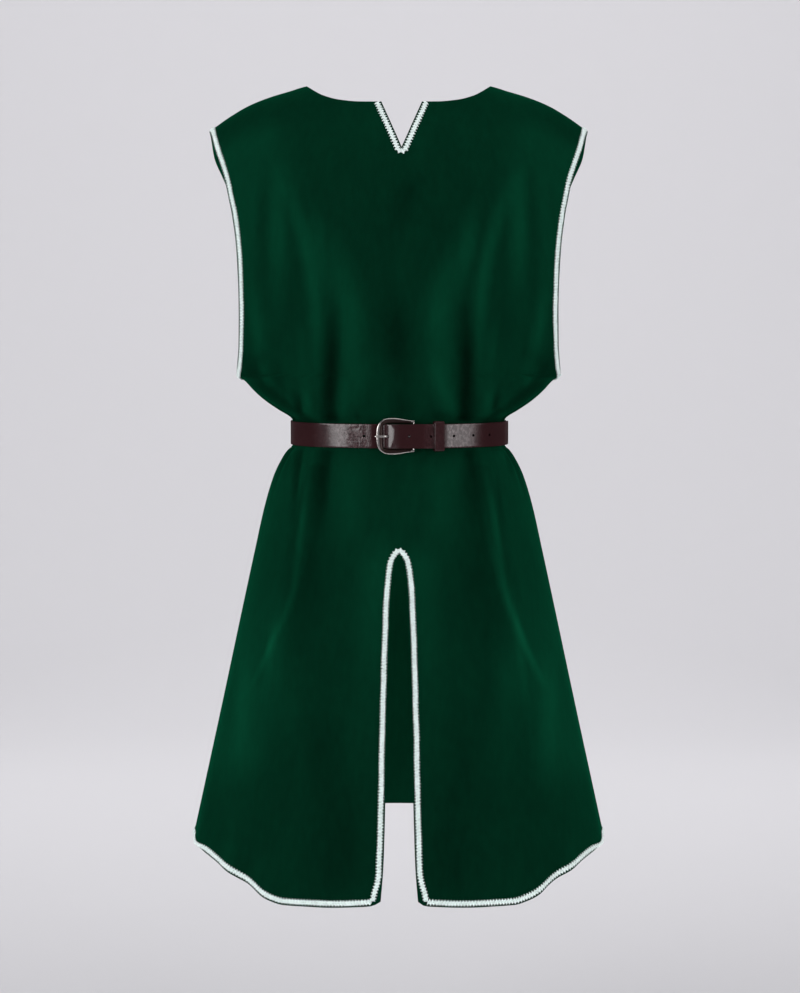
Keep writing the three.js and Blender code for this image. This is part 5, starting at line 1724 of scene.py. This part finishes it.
def prong_mesh():
    """The prong as a tapered bar with rounded edges."""
    stations = np.linspace(PRONG_SIDE["along"][0], PRONG_SIDE["along"][-1], 64)
    low = read(PRONG_SIDE, "along", "low", stations)
    high = read(PRONG_SIDE, "along", "high", stations)
    ends = np.minimum(stations - stations[0], stations[-1] - stations)
    blunt = np.sqrt(1 - (1 - np.clip(ends / PRONG_TIP, 0.02, 1)) ** 2)
    angle = 2 * math.pi * np.arange(14) / 14
    taper = mix(PRONG_FOOT_SHARE, 1, smooth((stations - stations[0]) / PRONG_TAPER))
    wide = PRONG_WIDTH / 2 * taper * blunt
    points = np.empty((len(stations), len(angle), 3))
    wide_share = signed_power(np.cos(angle), PRONG_ROUNDNESS)
    rise_share = signed_power(np.sin(angle), PRONG_ROUNDNESS)
    for i, along in enumerate(stations):
        middle, rise = (low[i] + high[i]) / 2, (high[i] - low[i]) / 2 * blunt[i]
        outs = middle + rise * rise_share
        points[i, :, :2] = belt_place(np.full_like(outs, along), outs)
        points[i, :, 2] = BELT_HEIGHT + wide[i] * wide_share
    return ring_mesh(points)


# Settings


class ClothSettings(bpy.types.PropertyGroup):
    # The two ends of the velvet's painted shading: its colour in painted shade in the valleys, and
    # in painted light on the crests
    flat_pile: bpy.props.FloatVectorProperty(
        name="Flat Pile", description="Colour of the velvet in the valleys of its folds",
        subtype="COLOR", default=(0.0004, 0.0015, 0.001),
    )
    full_pile: bpy.props.FloatVectorProperty(
        name="Full Pile", description="Colour of the velvet on the crests of its folds",
        subtype="COLOR", default=(0.0036, 0.1045, 0.0474),
    )
    sheen: bpy.props.FloatProperty(
        name="Sheen", description="How strongly the pile catches light from the side",
        subtype="FACTOR", min=0, max=1, default=0.12,
    )
    sheen_colour: bpy.props.FloatVectorProperty(
        name="Sheen Colour", description="Colour of the pile's sheen", subtype="COLOR",
        default=(0.01, 0.5, 0.22),
    )
    wall: bpy.props.FloatProperty(
        name="Thickness", description="Thickness of the cloth", unit="LENGTH", default=1.2 * MM
    )
    pile: bpy.props.FloatProperty(
        name="Pile", description="Unevenness of the pile", unit="LENGTH", default=0.25 * MM
    )


class BraidSettings(bpy.types.PropertyGroup):
    thread: bpy.props.FloatVectorProperty(
        name="Thread", description="Colour of the braid", subtype="COLOR",
        default=(0.655, 0.76, 0.72),
    )
    braid_width: bpy.props.FloatProperty(
        name="Width", description="Width of the braid", unit="LENGTH", default=9 * MM
    )
    braid_inset: bpy.props.FloatProperty(
        name="Inset", description="Cloth that shows between the edge and the braid",
        unit="LENGTH", default=1.2 * MM,
    )
    scallop: bpy.props.FloatProperty(
        name="Scallop", description="Length of one scallop of the braid's edge",
        unit="LENGTH", default=4 * MM,
    )
    # Colour of the painted shade between the strands
    crevice: bpy.props.FloatVectorProperty(
        name="Crevice", description="Colour of the braid between its strands", subtype="COLOR",
        default=(0.03, 0.085, 0.062),
    )
    strand_width: bpy.props.FloatProperty(
        name="Strand", description="Width of one strand", unit="LENGTH", default=1.6 * MM
    )
    core_width: bpy.props.FloatProperty(
        name="Core", description="Width of the braid's core", unit="LENGTH", default=4.4 * MM
    )
    fuzz: bpy.props.FloatProperty(
        name="Fuzz", description="How unevenly the strands are spun", subtype="FACTOR",
        min=0, max=0.5, default=0.2,
    )
    strand_rise: bpy.props.FloatProperty(
        name="Rise", description="How far a strand rises where it crosses another",
        unit="LENGTH", default=0.5 * MM,
    )


class BeltSettings(bpy.types.PropertyGroup):
    leather: bpy.props.FloatVectorProperty(
        name="Leather", description="Colour of the belt", subtype="COLOR",
        default=(0.034, 0.0125, 0.014),
    )
    gloss: bpy.props.FloatProperty(
        name="Gloss", description="Strength of the leather's wax coat", subtype="FACTOR",
        min=0, max=1, default=1,
    )
    crinkle: bpy.props.FloatProperty(
        name="Crinkles", description="Depth of the crinkles where the belt has bent",
        unit="LENGTH", default=0.35 * MM,
    )
    crazing: bpy.props.FloatProperty(
        name="Crazing", description="Depth of the fine crazing", unit="LENGTH", default=0.42 * MM
    )
    metal: bpy.props.FloatVectorProperty(
        name="Metal", description="Colour of the buckle", subtype="COLOR",
        default=(0.46, 0.43, 0.41),
    )
    # Colour of the painted dark reflection on the buckle's faces
    patina: bpy.props.FloatVectorProperty(
        name="Patina", description="Colour of the buckle's dark faces", subtype="COLOR",
        default=(0.03, 0.016, 0.014),
    )


class StageSettings(bpy.types.PropertyGroup):
    backdrop: bpy.props.FloatVectorProperty(
        name="Backdrop", description="Colour of the backdrop", subtype="COLOR",
        default=(0.614, 0.606, 0.625),
    )
    light: bpy.props.FloatProperty(
        name="Light", description="Strength of the studio lights", min=0, default=1
    )


# Operators


class TUNIC_OT_panels(bpy.types.Operator):
    """Builds the front and back panels of velvet"""

    bl_idname = "tunic.panels"
    bl_label = "Velvet Panels"

    def execute(self, context):
        settings = context.scene.tunic_cloth
        finish = velvet_finish(settings)
        # Hem widths, and lengths from the shoulder to the hem over the chest
        for facing in FACINGS:
            points, faces = shell(panel(facing), settings.wall)
            nap = panel(facing).nap
            # The front panel carries the tapes of both seams
            for hand in HANDS if facing == "front" else ():
                tape, tape_faces = seam_tape(hand, settings.wall)
                faces = np.concatenate([faces, tape_faces + len(points)])
                points = np.concatenate([points, tape])
                nap = np.append(nap, np.full(len(tape), TAPE_NAP))
            name, node = facing + "_velvet", facing + "_panel"
            piece = make_piece(name, points, faces, finish, "velvet", node, sharp=80, nap=nap)
        return {"FINISHED"}


class TUNIC_OT_braids(bpy.types.Operator):
    """Builds the plaited braid along the notch, the armholes, the slit and the hem"""

    bl_idname = "tunic.braids"
    bl_label = "Braids"

    def execute(self, context):
        settings = context.scene.tunic_braid
        finish = braid_finish(settings)
        front, back = panel("front"), panel("back")
        front_face, back_face = cloth_surface(front), cloth_surface(back)
        both_faces = cloth_surface(front, back)
        last_row = len(front.ids[1]) - 1
        back_last_row = len(back.ids[1]) - 1
        last_column = front.ids[1].shape[1] - 1

        def build(name, line, surface, **options):
            points, faces, places, lift = plait(line, surface, settings, **options)
            piece = make_piece(
                name + "_plait", points, faces, finish, "braid", name, sharp=180, lift=lift
            )
            layer = piece.data.uv_layers.new(name="strand")
            layer.data.foreach_set("uv", places.ravel())

        def both_sides(rows):
            """Down the cut on one side of the centre and up on the other, or the other way."""
            return (
                edge_line(front, 1, rows, 0, (0, 1), front_face),
                edge_line(front, -1, rows[::-1], 0, (0, 1), front_face),
            )

        notch_rows = np.arange(front.notch_row + 1)
        build("neck_braid", joined(*both_sides(notch_rows)), front_face)
        slit_rows = np.arange(last_row, front.slit_row - 1, -1)
        build("slit_braid", joined(*both_sides(slit_rows)), front_face, foot=SLIT_FOOT)
        beside_slit = settings.braid_inset + settings.braid_width + SEAM_GAP
        hem = np.arange(last_column + 1)
        down = np.arange(front.corner_row + 1)
        up = np.arange(back.corner_row, -1, -1)
        for hand, side in ((-1, "left"), (1, "right")):
            line = edge_line(front, hand, last_row, hem, (-1, 0), front_face)
            build("hem_braid_front_" + side, line, front_face, start=beside_slit)
            armhole = (
                edge_line(front, hand, down, last_column, (0, -1), both_faces),
                edge_line(back, hand, up, last_column, (0, -1), both_faces),
            )
            build("armhole_braid_" + side, joined(*armhole, closed=True), both_faces, closed=True)
        right, right_in = edge_line(back, 1, back_last_row, hem[::-1], (-1, 0), back_face)
        left, left_in = edge_line(back, -1, back_last_row, hem[1:], (-1, 0), back_face)
        hem_line = (np.concatenate([right, left]), np.concatenate([right_in, left_in]))
        build("hem_braid_back", hem_line, back_face)
        return {"FINISHED"}


class TUNIC_OT_belt(bpy.types.Operator):
    """Builds the leather strap with its holes, and the keeper"""

    bl_idname = "tunic.belt"
    bl_label = "Belt"

    def execute(self, context):
        settings = context.scene.tunic_belt
        finish = leather_finish(settings)
        slot = "belt_leather"
        points, faces = strap_mesh(settings)
        strap = make_piece("strap_leather", points, faces, finish, slot, "belt_strap", sharp=40)
        pierce(strap)
        points, faces = keeper_mesh()
        make_piece("keeper_leather", points, faces, finish, slot, "belt_keeper", sharp=40)
        return {"FINISHED"}


class TUNIC_OT_buckle(bpy.types.Operator):
    """Builds the buckle's frame and its prong"""

    bl_idname = "tunic.buckle"
    bl_label = "Buckle"

    def execute(self, context):
        finish = metal_finish(context.scene.tunic_belt)
        slot = "buckle_metal"
        points, faces, dark = frame_mesh()
        make_piece(
            "frame_metal", points, faces, finish, slot, "buckle_frame", sharp=60, face=dark
        )
        points, faces = prong_mesh()
        make_piece("prong_metal", points, faces, finish, slot, "buckle_prong", sharp=60)
        return {"FINISHED"}


class TUNIC_OT_stage(bpy.types.Operator):
    """Builds the pale backdrop, the studio lights and the camera"""

    bl_idname = "tunic.stage"
    bl_label = "Stage"

    def execute(self, context):
        settings = context.scene.tunic_stage
        build_backdrop(settings)
        build_lights(settings)
        build_camera()
        return {"FINISHED"}


def cloth_surface(*panels):
    """Search tree over the outer faces of one or two panels."""
    points, faces, first = [], [], 0
    for one in panels:
        points += one.points.tolist()
        faces += (one.quads + first).tolist()
        first += len(one.points)
    return BVHTree.FromPolygons(points, faces)


# Stage, in metres
FLOOR_LEVEL = -1.35
FLOOR_RADIUS = 2.6
COVE_RADIUS = 2.6
WALL_TOP = 4.5
COVE_STEPS = 24
BACKDROP_SIDES = 96

STAGE_MIDDLE = Vector((0, 0, -0.5))
SKY_COLOUR = (0.9, 0.92, 1, 1)
SKY_STRENGTH = 0.18
LIGHTS = (
    # name, azimuth from the front, elevation, distance, width, height, watts
    ("key", -52, 12, 2.7, 1.2, 2.2, 46),
    ("side", 60, 12, 2.7, 1.5, 2.2, 39),
    ("top", 0, 78, 2.4, 2.2, 1.6, 18),
    ("back_left", -140, 20, 2.6, 1.2, 2.2, 9),
    ("back_right", 140, 20, 2.6, 1.2, 2.2, 9),
    ("backdrop", 180, 60, 3.4, 3.5, 1.5, 118),
    ("floor", 0, -88, 0.8, 0.8, 0.8, 2.5),
)
# Lights that point elsewhere than at the middle of the stage
LIGHT_AIMS = {"backdrop": Vector((0, 4.5, 0.2))}

CAMERA_PLACE = (0.00188, -3.0, -0.3024)
CAMERA_DIP = 4.5836
CAMERA_SENSOR = 36
CAMERA_LENS = 81.17


def build_backdrop(settings):
    """A flat round floor that curves up into a wall all round."""
    finish = Finish("backdrop")
    finish.set(Base_Color=shade(settings.backdrop), Roughness=0.9, Specular_IOR_Level=0.1)
    profile = [(0, FLOOR_LEVEL), (FLOOR_RADIUS * 0.5, FLOOR_LEVEL)]
    for step in range(COVE_STEPS + 1):
        turn = math.radians(90 * step / COVE_STEPS)
        out = FLOOR_RADIUS + COVE_RADIUS * math.sin(turn)
        profile.append((out, FLOOR_LEVEL + COVE_RADIUS * (1 - math.cos(turn))))
    profile.append((FLOOR_RADIUS + COVE_RADIUS, WALL_TOP))
    points = []
    for radius, height in profile:
        for step in range(BACKDROP_SIDES):
            turn = 2 * math.pi * step / BACKDROP_SIDES
            points.append((radius * math.cos(turn), radius * math.sin(turn), height))
    faces, _ = tube(len(profile), BACKDROP_SIDES, False)
    # Without the two ends of the tube
    mesh = smooth_mesh("backdrop", points, faces[:-2], finish.material)
    backdrop = add_object("backdrop", mesh)


def build_lights(settings):
    """Soft boxes round the piece, and an even pale sky."""
    for name, azimuth, elevation, distance, width, height, watts in LIGHTS:
        turn, rise = math.radians(azimuth), math.radians(elevation)
        level = math.cos(rise)
        place = Vector((math.sin(turn) * level, -math.cos(turn) * level, math.sin(rise)))
        light = bpy.data.lights.new(name, "AREA")
        light.shape = "RECTANGLE"
        light.size = width
        light.size_y = height
        light.energy = watts * settings.light
        lamp = add_object(name, light)
        lamp.location = STAGE_MIDDLE + place * distance
        aim = LIGHT_AIMS[name] - lamp.location if name in LIGHT_AIMS else -place
        lamp.rotation_euler = aim.to_track_quat("-Z", "Z").to_euler()
        lamp.visible_camera = False
    world = bpy.data.worlds.new("sky")
    world.use_nodes = True
    sky = world.node_tree.nodes["Background"].inputs
    sky["Color"].default_value = SKY_COLOUR
    sky["Strength"].default_value = SKY_STRENGTH
    bpy.context.scene.world = world


def build_camera():
    """The camera, level with the chest and looking slightly down."""
    camera = bpy.data.cameras.new("camera")
    camera.sensor_width = CAMERA_SENSOR
    camera.lens = CAMERA_LENS
    eye = add_object("camera", camera)
    eye.location = CAMERA_PLACE
    eye.rotation_euler = (math.radians(90 - CAMERA_DIP), 0, 0)
    bpy.context.scene.camera = eye
    bpy.context.scene.view_settings.view_transform = "Standard"


class VIEW3D_PT_tunic(bpy.types.Panel):
    """Shows the settings of each group of pieces, their sizes and colours, with the buttons that
    build them
    """

    bl_idname = "VIEW3D_PT_tunic"
    bl_label = "Medieval Tunic Dress"
    bl_space_type = "VIEW_3D"
    bl_region_type = "UI"
    bl_category = "Tunic"

    def draw(self, context):
        scene = context.scene
        groups = (
            (scene.tunic_cloth, ("tunic.panels",)),
            (scene.tunic_braid, ("tunic.braids",)),
            (scene.tunic_belt, ("tunic.belt", "tunic.buckle")),
            (scene.tunic_stage, ("tunic.stage",)),
        )
        for settings, operators in groups:
            box = self.layout.box()
            for name in settings.bl_rna.properties.keys():
                if name not in {"rna_type", "name"}:
                    box.prop(settings, name)
            for operator in operators:
                box.operator(operator)


SETTINGS = {
    "tunic_cloth": ClothSettings,
    "tunic_braid": BraidSettings,
    "tunic_belt": BeltSettings,
    "tunic_stage": StageSettings,
}
CLASSES = (
    *SETTINGS.values(),
    TUNIC_OT_panels,
    TUNIC_OT_braids,
    TUNIC_OT_belt,
    TUNIC_OT_buckle,
    TUNIC_OT_stage,
    VIEW3D_PT_tunic,
)


def register():
    for each in CLASSES:
        bpy.utils.register_class(each)
    for name, group in SETTINGS.items():
        setattr(bpy.types.Scene, name, bpy.props.PointerProperty(type=group))


def unregister():
    for name in SETTINGS:
        delattr(bpy.types.Scene, name)
    for each in reversed(CLASSES):
        bpy.utils.unregister_class(each)


def main():
    register()
    bpy.ops.tunic.stage()
    bpy.ops.tunic.panels()
    bpy.ops.tunic.braids()
    bpy.ops.tunic.belt()
    bpy.ops.tunic.buckle()


if __name__ == "__main__":
    main()
